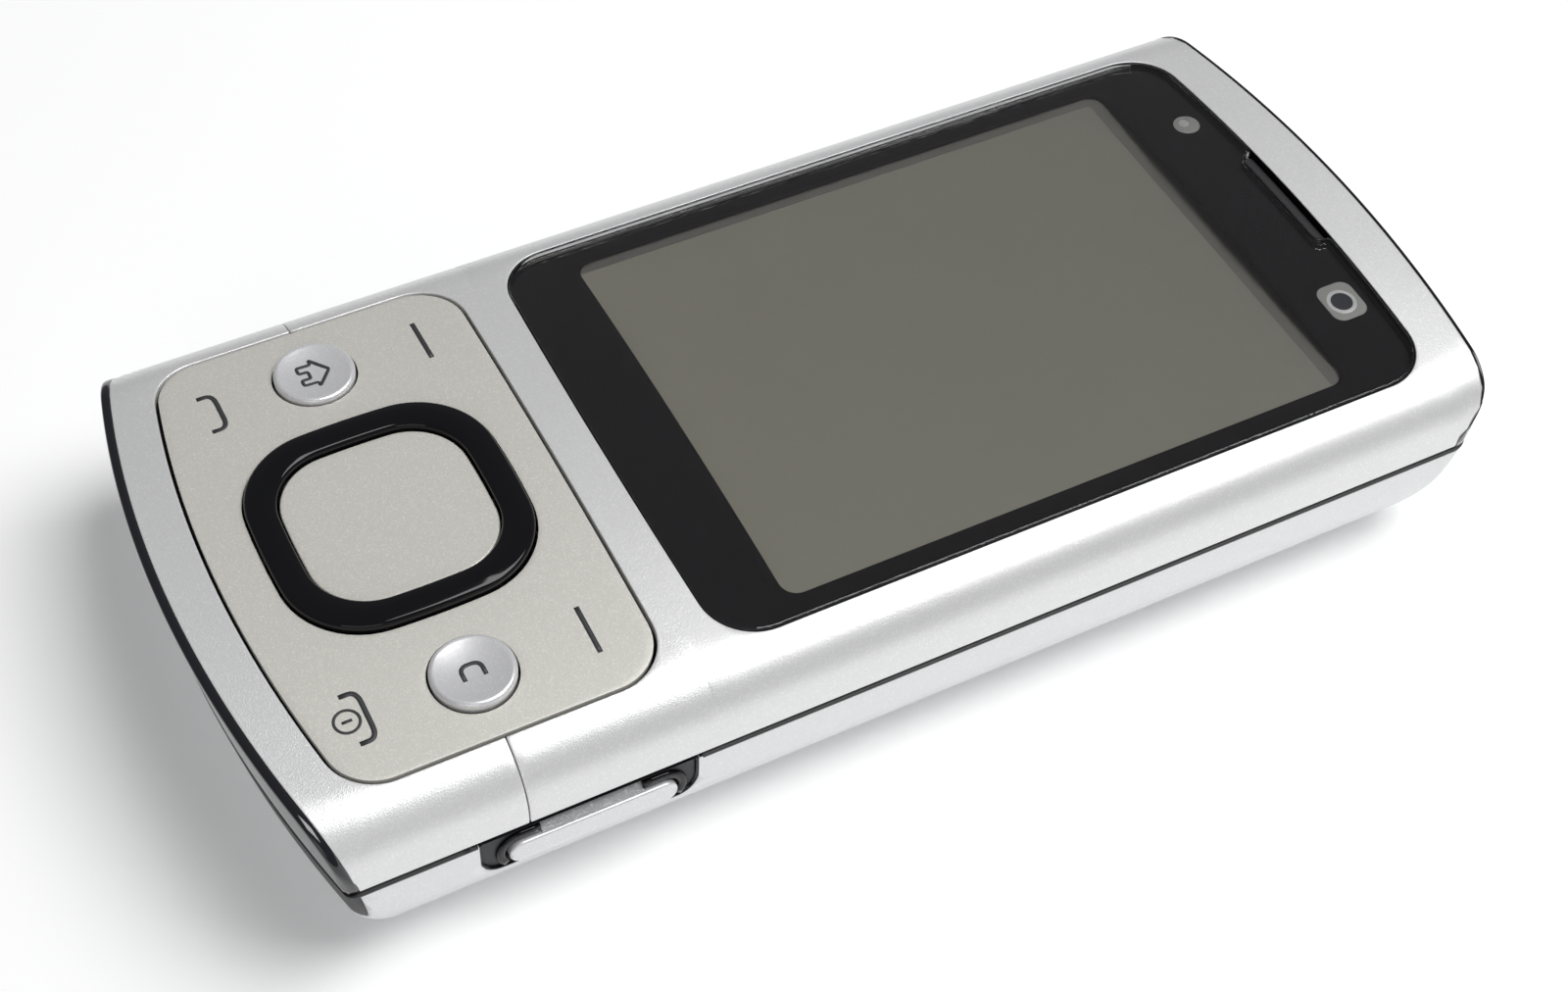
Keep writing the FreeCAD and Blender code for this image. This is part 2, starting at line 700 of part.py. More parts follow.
def round_key(x):
    """Round key with a rounded rim and a shallow spherical dish in its face."""
    top = CREST_Z - crown_sag(ROUND_KEY_X) + ROUND_KEY_PROUD
    cap = disc(x, PAD_Y, FLANGE_TOP_Z - FLANGE_T, top, ROUND_KEY_R)
    rims = [e for e in cap.Edges if abs(e.BoundBox.ZMin - top) < 1e-4]
    cap = cap.makeFillet(ROUND_KEY_ROUND, rims)
    reach = ROUND_KEY_R - ROUND_KEY_ROUND
    ball_r = (reach ** 2 + ROUND_KEY_DISH ** 2) / (2 * ROUND_KEY_DISH)
    ball = Part.makeSphere(ball_r, vec(x, PAD_Y, top - ROUND_KEY_DISH + ball_r))
    flange = disc(x, PAD_Y, FLANGE_TOP_Z - FLANGE_T, FLANGE_TOP_Z, ROUND_KEY_R + FLANGE)
    plunger = disc(x, PAD_Y, PLUNGER_Z, FLANGE_TOP_Z - FLANGE_T, PLUNGER_R)
    return fuse_all([cap.cut(ball), flange, plunger])


def home_key():
    return round_key(-ROUND_KEY_X)


def clear_key():
    return round_key(ROUND_KEY_X)


def function_domes():
    """Clear sheet with one metal dome under each key: eleven in all."""
    sheet = prism(outline(
        PLATE_HALF - 1.5,
        PLATE_LOW_Y + 1.6, PLATE_LOWER_R, PLATE_LOWER_CORNER_R,
        PLATE_TOP_Y - 1.2, None, PLATE_TOP_CORNER_R), DECK_Z, DECK_Z + DOME_SHEET_T)
    ring_r = (RING_HALF + RING_HOLE_HALF) / 2
    places = [(0, PAD_Y), (-ROUND_KEY_X, PAD_Y), (ROUND_KEY_X, PAD_Y)] + nub_places()
    places += [(ring_r, PAD_Y), (-ring_r, PAD_Y), (0, PAD_Y + ring_r), (0, PAD_Y - ring_r)]
    return fuse_all([sheet] + [dome(x, y, DECK_Z + DOME_SHEET_T, DOME_H) for x, y in places])


def dome(x, y, z, height, r=DOME_R):
    return Part.makeCone(r, r * 0.55, height, vec(x, y, z))


# Slider: inside

def inner_plan(inset):
    """Outline inside the channel and between the plugs of the end caps."""
    end = inset + PLUG_T + FIT + lean(INNER_Z)
    return outline(
        INNER_HALF - inset,
        -HALF_LENGTH + LOWER_CAP_T + end, LOWER_END_R, 1.0,
        HALF_LENGTH - UPPER_CAP_T - end, UPPER_END_R, UPPER_CORNER_R,
    )


def inner_frame():
    """Moulded frame that carries the display, the keypad deck, the earpiece and the camera."""
    rim_z = DISPLAY_TOP_Z
    block = prism(inner_plan(0.0), INNER_Z, rim_z)
    block = block.common(bar(slider_section(FRAME_WALL + FIT, 0), -FAR, FAR))
    deck = outline(
        INNER_HALF - 1.6,
        PLATE_LOW_Y + 0.8, PLATE_LOWER_R, PLATE_LOWER_CORNER_R,
        PLATE_TOP_Y, None, PLATE_TOP_CORNER_R)
    tools = [
        prism(deck, DECK_Z, FAR),
        rounded_box((-DISPLAY_WIDTH / 2 - FIT, DISPLAY_WIDTH / 2 + FIT),
                    (DISPLAY_LOW_Y - FIT, DISPLAY_TOP_Y + FIT),
                    (DISPLAY_TOP_Z - DISPLAY_T, FAR), 0.8),
        box((-EARPIECE_WIDTH / 2 - FIT, EARPIECE_WIDTH / 2 + FIT),
            (earpiece_y()[0] - FIT, earpiece_y()[1] + FIT), (INNER_Z + 0.3, FAR)),
        disc(CAMERA_APERTURE_X, CAMERA_APERTURE_Y, INNER_Z + 0.3, FAR, 2.3 + FIT),
        disc(-CAMERA_APERTURE_X, CAMERA_APERTURE_Y, INNER_Z + 1.2, FAR, 1.3),
    ]
    return cut_all(block, tools)


def earpiece_y():
    top = HALF_LENGTH - UPPER_CAP_T - PLUG_T - FIT - lean(INNER_Z) - 1.2
    return (top - EARPIECE_LENGTH, top)


def display_module():
    """Liquid-crystal panel on its backlight, in a thin steel tray."""
    x = (-DISPLAY_WIDTH / 2, DISPLAY_WIDTH / 2)
    y = (DISPLAY_LOW_Y, DISPLAY_TOP_Y)
    tray = rounded_box(x, y, (DISPLAY_TOP_Z - DISPLAY_T, DISPLAY_TOP_Z - 0.7), 0.6)
    panel = rounded_box((x[0] + 0.5, x[1] - 0.5), (y[0] + 0.5, y[1] - 0.5),
                        (DISPLAY_TOP_Z - 0.7, DISPLAY_TOP_Z), 0.6)
    return tray.fuse(panel)


def ui_board():
    """Circuit board of the slider, with the flex connector on its underside."""
    board = prism(inner_plan(1.0), UI_BOARD_Z, UI_BOARD_Z + UI_BOARD_T)
    x, y = flex_place()
    plug = box((x - FLEX_WIDTH / 2, x + FLEX_WIDTH / 2), (y + 0.4, y + 2.4),
               (UI_BOARD_Z - UI_BOARD_GAP + 0.1, UI_BOARD_Z))
    board = cut_all(board, [disc(sx, sy, 0, FAR, SCREW_R + 0.3) for sx, sy in carriage_screws()])
    return board.fuse(plug)


def earpiece():
    """Flat receiver with a raised mesh under the notch of the glass."""
    low, high = earpiece_y()
    can = rounded_box((-EARPIECE_WIDTH / 2, EARPIECE_WIDTH / 2), (low, high),
                      (INNER_Z + 0.3, DISPLAY_TOP_Z - 0.3), 1.0)
    mesh = box((-NOTCH_WIDTH / 2 + 0.3, NOTCH_WIDTH / 2 - 0.3),
               (WINDOW_TOP_Y - NOTCH_DEPTH + 0.1, WINDOW_TOP_Y - 0.15),
               (DISPLAY_TOP_Z - 0.3, CREST_Z - FRAME_WALL - 0.2))
    return can.fuse(mesh).removeSplitter()


def front_camera():
    """Small camera: square base under a round lens tube with a dished front."""
    x, y = CAMERA_APERTURE_X, CAMERA_APERTURE_Y
    tube = disc(x, y, INNER_Z + 0.3, DISPLAY_TOP_Z, 2.3)
    eye = Part.makeCone(0.7, 1.3, 0.5, vec(x, y, DISPLAY_TOP_Z - 0.5))
    return tube.cut(eye)


def light_sensor():
    x, y = -CAMERA_APERTURE_X, CAMERA_APERTURE_Y
    return disc(x, y, INNER_Z + 1.2, DISPLAY_TOP_Z, 1.2)


# Slide mechanism

def carriage_screws():
    return [(sx * (SLIDE_HALF - CARRIAGE_SCREW_INSET), y) for sx in (-1, 1)
            for y in (CARRIAGE_LOW_Y + CARRIAGE_SCREW_END, CARRIAGE_TOP_Y - CARRIAGE_SCREW_END)]


def flex_place():
    return (-5.0, (CARRIAGE_LOW_Y + CARRIAGE_TOP_Y) / 2 - 6)


def flex_slot(low, high):
    x, y = flex_place()
    return box((x - FLEX_WIDTH / 2 - 1, x + FLEX_WIDTH / 2 + 1), (y - 1.0, y + 1.0), (low, high))


def slide_carriage():
    """Steel plate on four bosses under the slider, with the spring's moving pin."""
    half = RUNNER_INNER - FIT / 2
    plate = rounded_box((-half, half), (CARRIAGE_LOW_Y, CARRIAGE_TOP_Y),
                        (CARRIAGE_LOW_Z, CARRIAGE_LOW_Z + SHEET_T), 1.5)
    top = CARRIAGE_LOW_Z + SHEET_T
    bosses = [disc(x, y, top, REAR_PLATE_Z, 2.2) for x, y in carriage_screws()]
    x, y = moving_pin()
    pin = disc(x, y, SPRING_Z - SPRING_WIRE / 2, CARRIAGE_LOW_Z, PIN_R)
    tools = [flex_slot(CARRIAGE_LOW_Z - 1, REAR_PLATE_Z)]
    for sx, sy in carriage_screws():
        tools.append(disc(sx, sy, 0, FAR, SCREW_R + 0.05))
        tools.append(disc(sx, sy, 0, CARRIAGE_LOW_Z + SCREW_HEAD_T, SCREW_HEAD_R + 0.05))
    return cut_all(fuse_all([plate, pin] + bosses), tools)


def slider_screws():
    """Four countersunk screws, from the carriage up into the slider."""
    top = UI_BOARD_Z + UI_BOARD_T / 2
    screws = []
    for x, y in carriage_screws():
        head = disc(x, y, CARRIAGE_LOW_Z + 0.02, CARRIAGE_LOW_Z + SCREW_HEAD_T, SCREW_HEAD_R)
        shank = disc(x, y, CARRIAGE_LOW_Z + SCREW_HEAD_T, top, SCREW_R)
        screws.append(head.fuse(shank).removeSplitter())
    return Part.makeCompound(screws)


def slide_runners():
    """Four nylon runners that hold the carriage's edges in the rails."""
    runners = []
    for sx in (-1, 1):
        x = sorted((sx * RUNNER_INNER, sx * RUNNER_OUTER))
        for low in (CARRIAGE_LOW_Y, CARRIAGE_TOP_Y - RUNNER_LENGTH):
            runners.append(box(x, (low, low + RUNNER_LENGTH),
                               (BASE_TOP_Z + FIT, BASE_Z + RAIL_H - RAIL_LIP_T - FIT)))
    return Part.makeCompound(runners)


def slide_base_plate():
    """Pressed steel plate on the body: both long edges folded up and in to make the rails,
    two windows, and the spring's fixed pin."""
    y = (SLIDE_LOW_Y, SLIDE_TOP_Y)
    parts = [rounded_box((-SLIDE_HALF, SLIDE_HALF), y, (BASE_Z, BASE_TOP_Z), 1.8)]
    for sx in (-1, 1):
        wall = sorted((sx * SLIDE_HALF, sx * RAIL_INNER))
        lip = sorted((sx * SLIDE_HALF, sx * (RAIL_INNER - RAIL_LIP)))
        run = (y[0] + 1.8, y[1] - 1.8)
        parts.append(box(wall, run, (BASE_Z, BASE_Z + RAIL_H)))
        parts.append(box(lip, run, (BASE_Z + RAIL_H - RAIL_LIP_T, BASE_Z + RAIL_H)))
    x0, y0 = fixed_pin()
    parts.append(disc(x0, y0, BASE_TOP_Z, SPRING_Z + SPRING_WIRE / 2 + 0.05, PIN_R))
    plate = fuse_all(parts)
    fx, fy = flex_place()
    window = SLIDE_HALF - FIXED_PIN_INSET
    tools = [
        box((fx - FLEX_WIDTH / 2 - 1, fx + FLEX_WIDTH / 2 + 1), (fy + 12.0, fy + 14.5), (0, FAR)),
        rounded_box((-window, -2.0), (SLIDE_TOP_Y - 18, SLIDE_TOP_Y - 8), (0, BASE_TOP_Z + 0.1), 2.0),
        rounded_box((2.0, window), (SLIDE_TOP_Y - 14, SLIDE_TOP_Y - 4), (0, BASE_TOP_Z + 0.1), 2.0),
    ]
    for x, y in body_screw_places():
        tools.append(disc(x, y, 0, BASE_TOP_Z + 0.1, SCREW_R + 0.05))
    return cut_all(plate, tools)


def moving_pin():
    """The spring's pin on the carriage, with the slider closed."""
    return (MOVING_PIN_X, spring_middle() - SLIDE_TRAVEL / 2)


def fixed_pin():
    return (SLIDE_HALF - FIXED_PIN_INSET, spring_middle())


def spring_middle():
    return CARRIAGE_LOW_Y + 4.0 + SLIDE_TRAVEL / 2


def slide_spring():
    """Flat wire spring: an eye round each pin and one open loop between them. It is shortest
    when the slider is half open, so it pushes the slider to either end."""
    ax, ay = moving_pin()
    bx, by = fixed_pin()
    mx, my = (ax + bx) / 2, (ay + by) / 2
    span = sqrt((bx - ax) ** 2 + (by - ay) ** 2)
    ux, uy = (bx - ax) / span, (by - ay) / span
    half = SPRING_WIRE / 2
    low, high = SPRING_Z - half, SPRING_Z + half
    eye_r = PIN_R + 0.15

    def ring(x, y, r):
        return disc(x, y, low, high, r + SPRING_WIRE).cut(disc(x, y, low - 1, high + 1, r))

    def leg(start, stop):
        """A straight run along the line between the pins, from start to stop."""
        rod = Part.makeBox(stop - start, SPRING_WIRE, SPRING_WIRE, vec(start, -half, low))
        rod.rotate(vec(0, 0), vec(0, 0, 1), heading(ux, uy))
        rod.translate(vec(ax, ay))
        return rod

    reach = eye_r + SPRING_WIRE / 2
    loop_start = span / 2 - SPRING_LOOP_R - SPRING_WIRE / 2
    loop = ring(mx, my, SPRING_LOOP_R)
    side = Part.makeBox(2 * FAR, FAR, 4, vec(-FAR, 0, low - 1))
    side.rotate(vec(0, 0), vec(0, 0, 1), heading(ux, uy))
    side.translate(vec(mx, my))
    loop = loop.common(side)
    first = leg(reach, loop_start + SPRING_WIRE / 2)
    last = leg(span - loop_start - SPRING_WIRE / 2, span - reach)
    return fuse_all([ring(ax, ay, eye_r), first, loop, last, ring(bx, by, eye_r)])


def heading(ux, uy):
    return degrees(atan2(uy, ux))


def flex_cable():
    """Ribbon between the two boards: down through the rear plate and the carriage, back under
    the carriage, round a fold and forward along the base plate to its slot."""
    x, y = flex_place()
    t = FLEX_T
    high = CARRIAGE_LOW_Z - 0.15
    low = BASE_TOP_Z + 0.05
    fold = y - 8.0
    out = y + 13.2
    xs = (x - FLEX_WIDTH / 2, x + FLEX_WIDTH / 2)
    runs = [
        box(xs, (y, y + t), (high - t, UI_BOARD_Z)),
        box(xs, (fold, y + t), (high - t, high)),
        box(xs, (fold, fold + t), (low, high)),
        box(xs, (fold, out), (low, low + t)),
        box(xs, (out - t, out), (BOARD_TOP_Z, low + t)),
    ]
    return fuse_all(runs)


def body_screw_places():
    return [(sx * (HALF_WIDTH - BODY_SCREW_INSET), y) for sx in (-1, 1)
            for y in (SLIDE_LOW_Y + 5, SLIDE_TOP_Y - 6)]


def body_screws():
    """Four screws through the base plate into the chassis bosses."""
    screws = []
    for x, y in body_screw_places():
        head = disc(x, y, BASE_TOP_Z, BASE_TOP_Z + SCREW_HEAD_T, SCREW_HEAD_R)
        shank = disc(x, y, MID_TOP_Z + 0.3, BASE_TOP_Z, SCREW_R)
        screws.append(head.fuse(shank).removeSplitter())
    return Part.makeCompound(screws)


# Body: shell and back cover

def body_pocket(inset, low, high, y=(None, None)):
    """Room inside the body that follows its outline, between two heights."""
    y_low = POCKET_LOW_Y + inset if y[0] is None else y[0]
    y_high = POCKET_TOP_Y - inset if y[1] is None else y[1]
    low_r = LOWER_END_R if y[0] is None else None
    high_r = UPPER_END_R if y[1] is None else None
    return prism(outline(POCKET_HALF - inset, y_low, low_r, 1.6, y_high, high_r, 2.0), low, high)


def end_trim_region(gap=0.0):
    """Where the black trim takes the place of the body's silver lower end."""
    block = box((-FAR, FAR), (-FAR, 0), (TRIM_Z - gap, CREST_Z))
    return block.cut(metal_block(gap))


def end_deck(gap):
    """The top of the body's lower end wall, which the keypad's surround covers."""
    return box((-POCKET_HALF + 1 - gap, POCKET_HALF - 1 + gap),
               (-FAR, POCKET_LOW_Y + 1), (BEZEL_Z - gap, FAR))


def side_recess(grow=0.0):
    """Cut-out for the camera key's surround in the right side, open towards the slide gap."""
    half = SIDE_BEZEL_LENGTH / 2 + grow
    wire = outline(half, SIDE_BEZEL_LOW_Z - grow, None, SIDE_BEZEL_CORNER_R + grow,
                   BODY_TOP_Z + 5, None, 0.2)
    return sideways(wire, HALF_WIDTH - 2.45 - grow, HALF_WIDTH + 5)


def sideways(wire, low, high):
    """A face drawn in the XY plane, stood up in YZ at the camera key, from x = low to high."""
    face = Part.Face(wire)
    face.rotate(vec(0, 0), vec(1, 0), 90)
    face.rotate(vec(0, 0), vec(0, 0, 1), 90)
    face.translate(vec(low, SIDE_BEZEL_Y))
    return face.extrude(vec(high - low, 0))


def door_block(gap):
    y = (USB_Y - USB_DOOR_LENGTH / 2 - gap, USB_Y + USB_DOOR_LENGTH / 2 + gap)
    z = (BASE_Z - USB_DOOR_H - gap, BASE_Z + gap)
    return box((-FAR, -HALF_WIDTH + USB_DOOR_T + gap), y, z)


def usb_box(grow=0.0):
    z = BOARD_Z - LAYER_GAP - USB_H
    x = -HALF_WIDTH + USB_DOOR_T + 0.4
    return box((x - grow, x + USB_DEPTH + grow),
               (USB_Y - USB_WIDTH / 2 - grow, USB_Y + USB_WIDTH / 2 + grow),
               (z - grow, z + USB_H + grow))


def chassis():
    """Main shell of the body: silver sides, battery bay behind, board room in front."""
    outer = body_block()
    behind_cover = box((-FAR, FAR), (-FAR, COVER_TOP_Y), (-1, COVER_SPLIT_Z))
    inset_block = between(body_block(COVER_T + COVER_CLEAR), BAY_Z, COVER_SPLIT_Z + 0.1)
    inset_block = inset_block.common(box((-FAR, FAR), (-FAR, COVER_TOP_Y + 0.5), (0, FAR)))
    shell = outer.cut(behind_cover).fuse(inset_block)
    tools = [
        body_pocket(0.0, BASE_Z, FAR),
        body_pocket(LEDGE, MID_TOP_Z, FAR, (None, LENS_Y - 5.2)),
        rounded_box((-BAY_HALF, BAY_HALF), (BAY_LOW_Y, BAY_TOP_Y), (-1, BAY_TOP_Z), BAY_CORNER_R),
        end_trim_region(FIT / 2),
        end_deck(FIT / 2),
        antenna_room(0.1),
        side_recess(),
        door_block(FIT),
        usb_box(0.05),
        box((-FAR, -HALF_WIDTH + 3), (USB_Y - 3.4, USB_Y + 3.4), usb_mouth()),
    ]
    tools += camera_end_cuts()
    shell = cut_all(shell, tools)
    bosses = [disc(x, y, MID_TOP_Z - 0.1, BASE_Z, BOSS_R).cut(disc(x, y, MID_TOP_Z + 0.3, FAR, SCREW_R))
              for x, y in body_screw_places()[::2]]
    return shell.fuse(bosses[0]).fuse(bosses[1]).removeSplitter()


def usb_mouth():
    z = BOARD_Z - LAYER_GAP - USB_H
    return (z + 0.3, z + USB_H - 0.3)


def camera_end_cuts():
    """Openings of the body's upper end: camera, flash, loudspeaker and vibration motor."""
    camera = CAMERA_SIZE / 2 + 0.1
    cuts = [
        box((-camera, camera), (LENS_Y - camera, LENS_Y + camera), (WINDOW_T + 1.0, FAR)),
        disc(0, LENS_Y, -1, WINDOW_T + 2.0, BARREL_R + 0.6),
        disc(0, LENS_Y, -1, WINDOW_T + BACK_RECESS, WINDOW_R + 0.05),
        flash_block(0.05),
        rounded_box((SPEAKER_X - SPEAKER_WIDTH / 2 - 0.1, SPEAKER_X + SPEAKER_WIDTH / 2 + 0.1),
                    (LENS_Y - SPEAKER_LENGTH / 2 - 0.1, LENS_Y + SPEAKER_LENGTH / 2 + 0.1),
                    (1.2, FAR), 3.0),
        motor_pocket(),
    ]
    for k in range(5):
        x = SPEAKER_X + (k - 2) * 1.5
        cuts.append(rounded_box((x - 0.35, x + 0.35), (LENS_Y - 3, LENS_Y + 3), (-1, 1.3), 0.34))
    for x, y in body_screw_places()[1::2]:
        cuts.append(disc(x, y, MID_TOP_Z + 0.3, FAR, SCREW_R))
    return cuts


def flash_block(grow):
    return rounded_box((-FLASH_X - 1.9 - grow, -FLASH_X + 1.9 + grow),
                       (LENS_Y - 1.3 - grow, LENS_Y + 1.3 + grow),
                       (BACK_RECESS if grow == 0 else -1, 2.2 + grow), 0.6)


def motor_place():
    """Axis of the vibration motor: start of the can, and its y and z."""
    return (3.0, COVER_TOP_Y + 3.6, MID_TOP_Z - 0.4)


def motor_pocket():
    x, y, z = motor_place()
    r = MOTOR_R + 0.15
    return box((x - 0.2, x + MOTOR_LENGTH + WEIGHT_LENGTH + 1.4), (y - r, y + r), (z - r, FAR))


def battery_cover():
    """Back cover: a shallow tray that meets the chassis at the split and slides off towards
    the lower end."""
    tray = between(body_block(), -1, COVER_SPLIT_Z - 0.05)
    tray = tray.common(box((-FAR, FAR), (-FAR, COVER_TOP_Y - 0.1), (-1, FAR)))
    inside = between(body_block(COVER_T), -1, FAR)
    return tray.cut(inside)


# Body: numeric keypad

def key_places():
    """Middle of each numeric key, from the bottom row up."""
    y0 = -HALF_LENGTH + NUMERIC_LOW_MARGIN
    return [((column - 1) * COLUMN_PITCH, y0 + row * ROW_PITCH)
            for row in range(ROWS) for column in range(3)]


def key_outline(x, y, grow):
    w = NUMERIC_KEY_WIDTH / 2 + grow
    h = NUMERIC_KEY_LENGTH / 2 + grow
    wire = outline(w, -h, None, NUMERIC_KEY_CORNER_R + grow, h, None, NUMERIC_KEY_CORNER_R + grow)
    wire.translate(vec(x, y))
    return wire


def key_area(grow):
    """The room that the lowest keys share with the body's curved end."""
    return body_pocket(KEYPAD_RIM + NUMERIC_FLANGE + FIT - grow, 0, FAR)


def numeric_key(index):
    x, y = key_places()[index]
    top = BODY_TOP_Z + NUMERIC_PROUD
    cap = prism(key_outline(x, y, 0.0), BEZEL_Z - 0.1, top).common(key_area(0.0))
    rims = [e for e in cap.Edges if abs(e.BoundBox.ZMin - top) < 1e-4]
    cap = cap.makeChamfer(0.12, rims)
    flange = prism(key_outline(x, y, NUMERIC_FLANGE), BEZEL_Z - 0.45, BEZEL_Z - 0.1)
    flange = flange.common(key_area(NUMERIC_FLANGE))
    plunger = disc(x, y, NUMERIC_PLUNGER_Z, BEZEL_Z - 0.45, 1.2)
    return fuse_all([cap, flange, plunger])


def keypad_bezel():
    """Black surround of the numeric keys. It turns down over the body's lower end as a trim
    that meets the slider's cap."""
    y = (None, KEYPAD_TOP_Y)
    panel = body_pocket(FIT / 2, BEZEL_Z, BODY_TOP_Z, y)
    rim = body_pocket(FIT / 2, BASE_Z, BEZEL_Z, y).cut(
        body_pocket(KEYPAD_RIM, BASE_Z, BEZEL_Z, (None, KEYPAD_TOP_Y - 0.8)))
    end = body_block().common(end_trim_region().fuse(end_deck(0.0)))
    bezel = fuse_all([panel, rim, end.cut(body_pocket(FIT / 2, BASE_Z - 1, BEZEL_Z))])
    tools = [prism(key_outline(x, y, FIT), 0, FAR).common(key_area(FIT)) for x, y in key_places()]
    tools.append(side_recess(FIT))
    return cut_all(bezel, tools)


def keypad_domes():
    """Dome sheet of the numeric keys, on the main board."""
    sheet = body_pocket(LEDGE + 1.0, BOARD_TOP_Z, BOARD_TOP_Z + DOME_SHEET_T,
                        (None, KEYPAD_TOP_Y - 1.2))
    domes = [dome(x, y, BOARD_TOP_Z + DOME_SHEET_T, 0.15, NUMERIC_DOME_R) for x, y in key_places()]
    return fuse_all([sheet] + domes)


# Body: electronics

def main_board():
    """Circuit board of the body, notched round the vibration motor and the chassis bosses."""
    board = prism(outline(BOARD_HALF, POCKET_LOW_Y + LEDGE + 0.3, LOWER_END_R, 1.6,
                          LENS_Y - 5.6, None, 1.0), BOARD_Z, BOARD_TOP_Z)
    x, y, z = motor_place()
    tools = [box((x - 0.4, x + MOTOR_LENGTH + WEIGHT_LENGTH + 1.6),
                 (y - MOTOR_R - 0.4, y + MOTOR_R + 0.4), (0, FAR))]
    for sx, sy in body_screw_places():
        tools.append(disc(sx, sy, 0, FAR, BOSS_R + 0.3))
    return cut_all(board, tools)


def shield_cans():
    """Three pressed covers on the board's underside."""
    z = (BOARD_Z - CAN_H, BOARD_Z)
    low = BAY_LOW_Y - 0.2
    high = LENS_Y - 22
    side = BOARD_HALF - 3
    return Part.makeCompound([
        rounded_box((-side, -2.0), (low, high - 28), z, 0.8),
        rounded_box((1.0, side - 1), (low, high - 32), z, 0.8),
        rounded_box((-side + 2, side - 2), (high - 22, high), z, 0.8),
    ])


def antenna_room(grow):
    """Space for the antenna carrier, open towards the back cover."""
    half = ANTENNA_WIDTH / 2 + grow
    high = BAY_LOW_Y - 0.9
    low = high - ANTENNA_LENGTH
    z = (BAY_Z + 1.5, MID_TOP_Z - 0.6)
    if grow:
        z = (-1, z[1] + grow)
    return rounded_box((-half, half), (low - grow, high + grow), z, 0.8 + grow)


def antenna_module():
    """Moulded antenna carrier in the lower end of the body."""
    return antenna_room(0.0)


def battery():
    """Lithium cell with rounded long edges."""
    x = (-BATTERY_WIDTH / 2, BATTERY_WIDTH / 2)
    y = (BATTERY_LOW_Y, BATTERY_LOW_Y + BATTERY_LENGTH)
    wire = outline(BATTERY_WIDTH / 2, BAY_Z, None, 0.8, BAY_Z + BATTERY_T, None, 0.8)
    return bar(wire, y[0], y[1]).common(box(x, y, (0, FAR)))


def battery_contacts():
    """Three sprung contacts at the battery's upper end."""
    y = BATTERY_LOW_Y + BATTERY_LENGTH + 0.02
    contacts = []
    for k in (-1, 0, 1):
        foot = box((k * 3 - 0.6, k * 3 + 0.6), (y, y + 1.2), (BAY_TOP_Z - 0.3, BAY_TOP_Z))
        leaf = box((k * 3 - 0.6, k * 3 + 0.6), (y, y + 0.25), (BAY_TOP_Z - 2.2, BAY_TOP_Z - 0.3))
        contacts.append(foot.fuse(leaf).removeSplitter())
    return Part.makeCompound(contacts)


def card_holder():
    """Pressed bracket for the SIM card, at the upper end of the battery bay."""
    y = (BATTERY_LOW_Y + BATTERY_LENGTH + 1.6, BAY_TOP_Y - 0.3)
    x = (-BAY_HALF + 4.6, BAY_HALF - 4.6)
    z = (BAY_TOP_Z - 1.4, BAY_TOP_Z)
    bracket = box(x, y, z)
    slot = box((x[0] + 0.4, x[1] - 0.4), (y[0] - 1, y[1] - 0.4), (z[0] + 0.3, z[1] - 0.2))
    window = rounded_box((-7.0, 7.0), (y[0] + 2, y[1] - 1.5), (z[0] - 1, z[0] + 0.5), 1.0)
    return bracket.cut(slot).cut(window)


def usb_socket():
    """Micro USB receptacle with its mouth in the left side."""
    shell = usb_box()
    bounds = shell.BoundBox
    mouth = box((bounds.XMin - 1, bounds.XMax - 0.8), (bounds.YMin + 0.35, bounds.YMax - 0.35),
                (bounds.ZMin + 0.35, bounds.ZMax - 0.35))
    tongue = box((bounds.XMin + 0.8, bounds.XMax - 0.8), (USB_Y - 2.2, USB_Y + 2.2),
                 (bounds.ZMin + 1.0, bounds.ZMin + 1.5))
    return shell.cut(mouth).fuse(tongue).removeSplitter()


def usb_door():
    """Flap over the socket, its face part of the body's side. It swings on its lower end."""
    return body_block().common(door_block(0.0))


def camera_module():
    """Square camera housing with a round bore for the focusing lens barrel."""
    half = CAMERA_SIZE / 2
    z = WINDOW_T + 1.0
    housing = rounded_box((-half, half), (LENS_Y - half, LENS_Y + half), (z, z + CAMERA_T), 0.5)
    bore = disc(0, LENS_Y, z - 1, z + BARREL_LENGTH, BARREL_R + BARREL_FIT)
    return housing.cut(bore)


def lens_barrel():
    """Focusing lens: moves along its axis towards the window."""
    z = WINDOW_T + 1.0 - FOCUS_TRAVEL
    high = WINDOW_T + 1.0 + BARREL_LENGTH - 0.3
    barrel = disc(0, LENS_Y, z + 0.05, high, BARREL_R)
    eye = Part.makeCone(2.2, 1.0, 0.6, vec(0, LENS_Y, z + 0.05))
    return barrel.cut(eye)


def camera_window():
    return disc(0, LENS_Y, BACK_RECESS, BACK_RECESS + WINDOW_T, WINDOW_R)


def camera_flash():
    """Window of the twin flash."""
    return flash_block(0)


def loudspeaker():
    return rounded_box(
        (SPEAKER_X - SPEAKER_WIDTH / 2, SPEAKER_X + SPEAKER_WIDTH / 2),
        (LENS_Y - SPEAKER_LENGTH / 2, LENS_Y + SPEAKER_LENGTH / 2), (1.3, 1.3 + SPEAKER_T), 2.9)


def vibration_motor():
    """Small can motor with a bore for its shaft."""
    x, y, z = motor_place()
    can = Part.makeCylinder(MOTOR_R, MOTOR_LENGTH, vec(x, y, z), vec(1, 0, 0))
    bore = Part.makeCylinder(SHAFT_R + 0.03, 3.0, vec(x + MOTOR_LENGTH - 2, y, z), vec(1, 0, 0))
    return can.cut(bore)


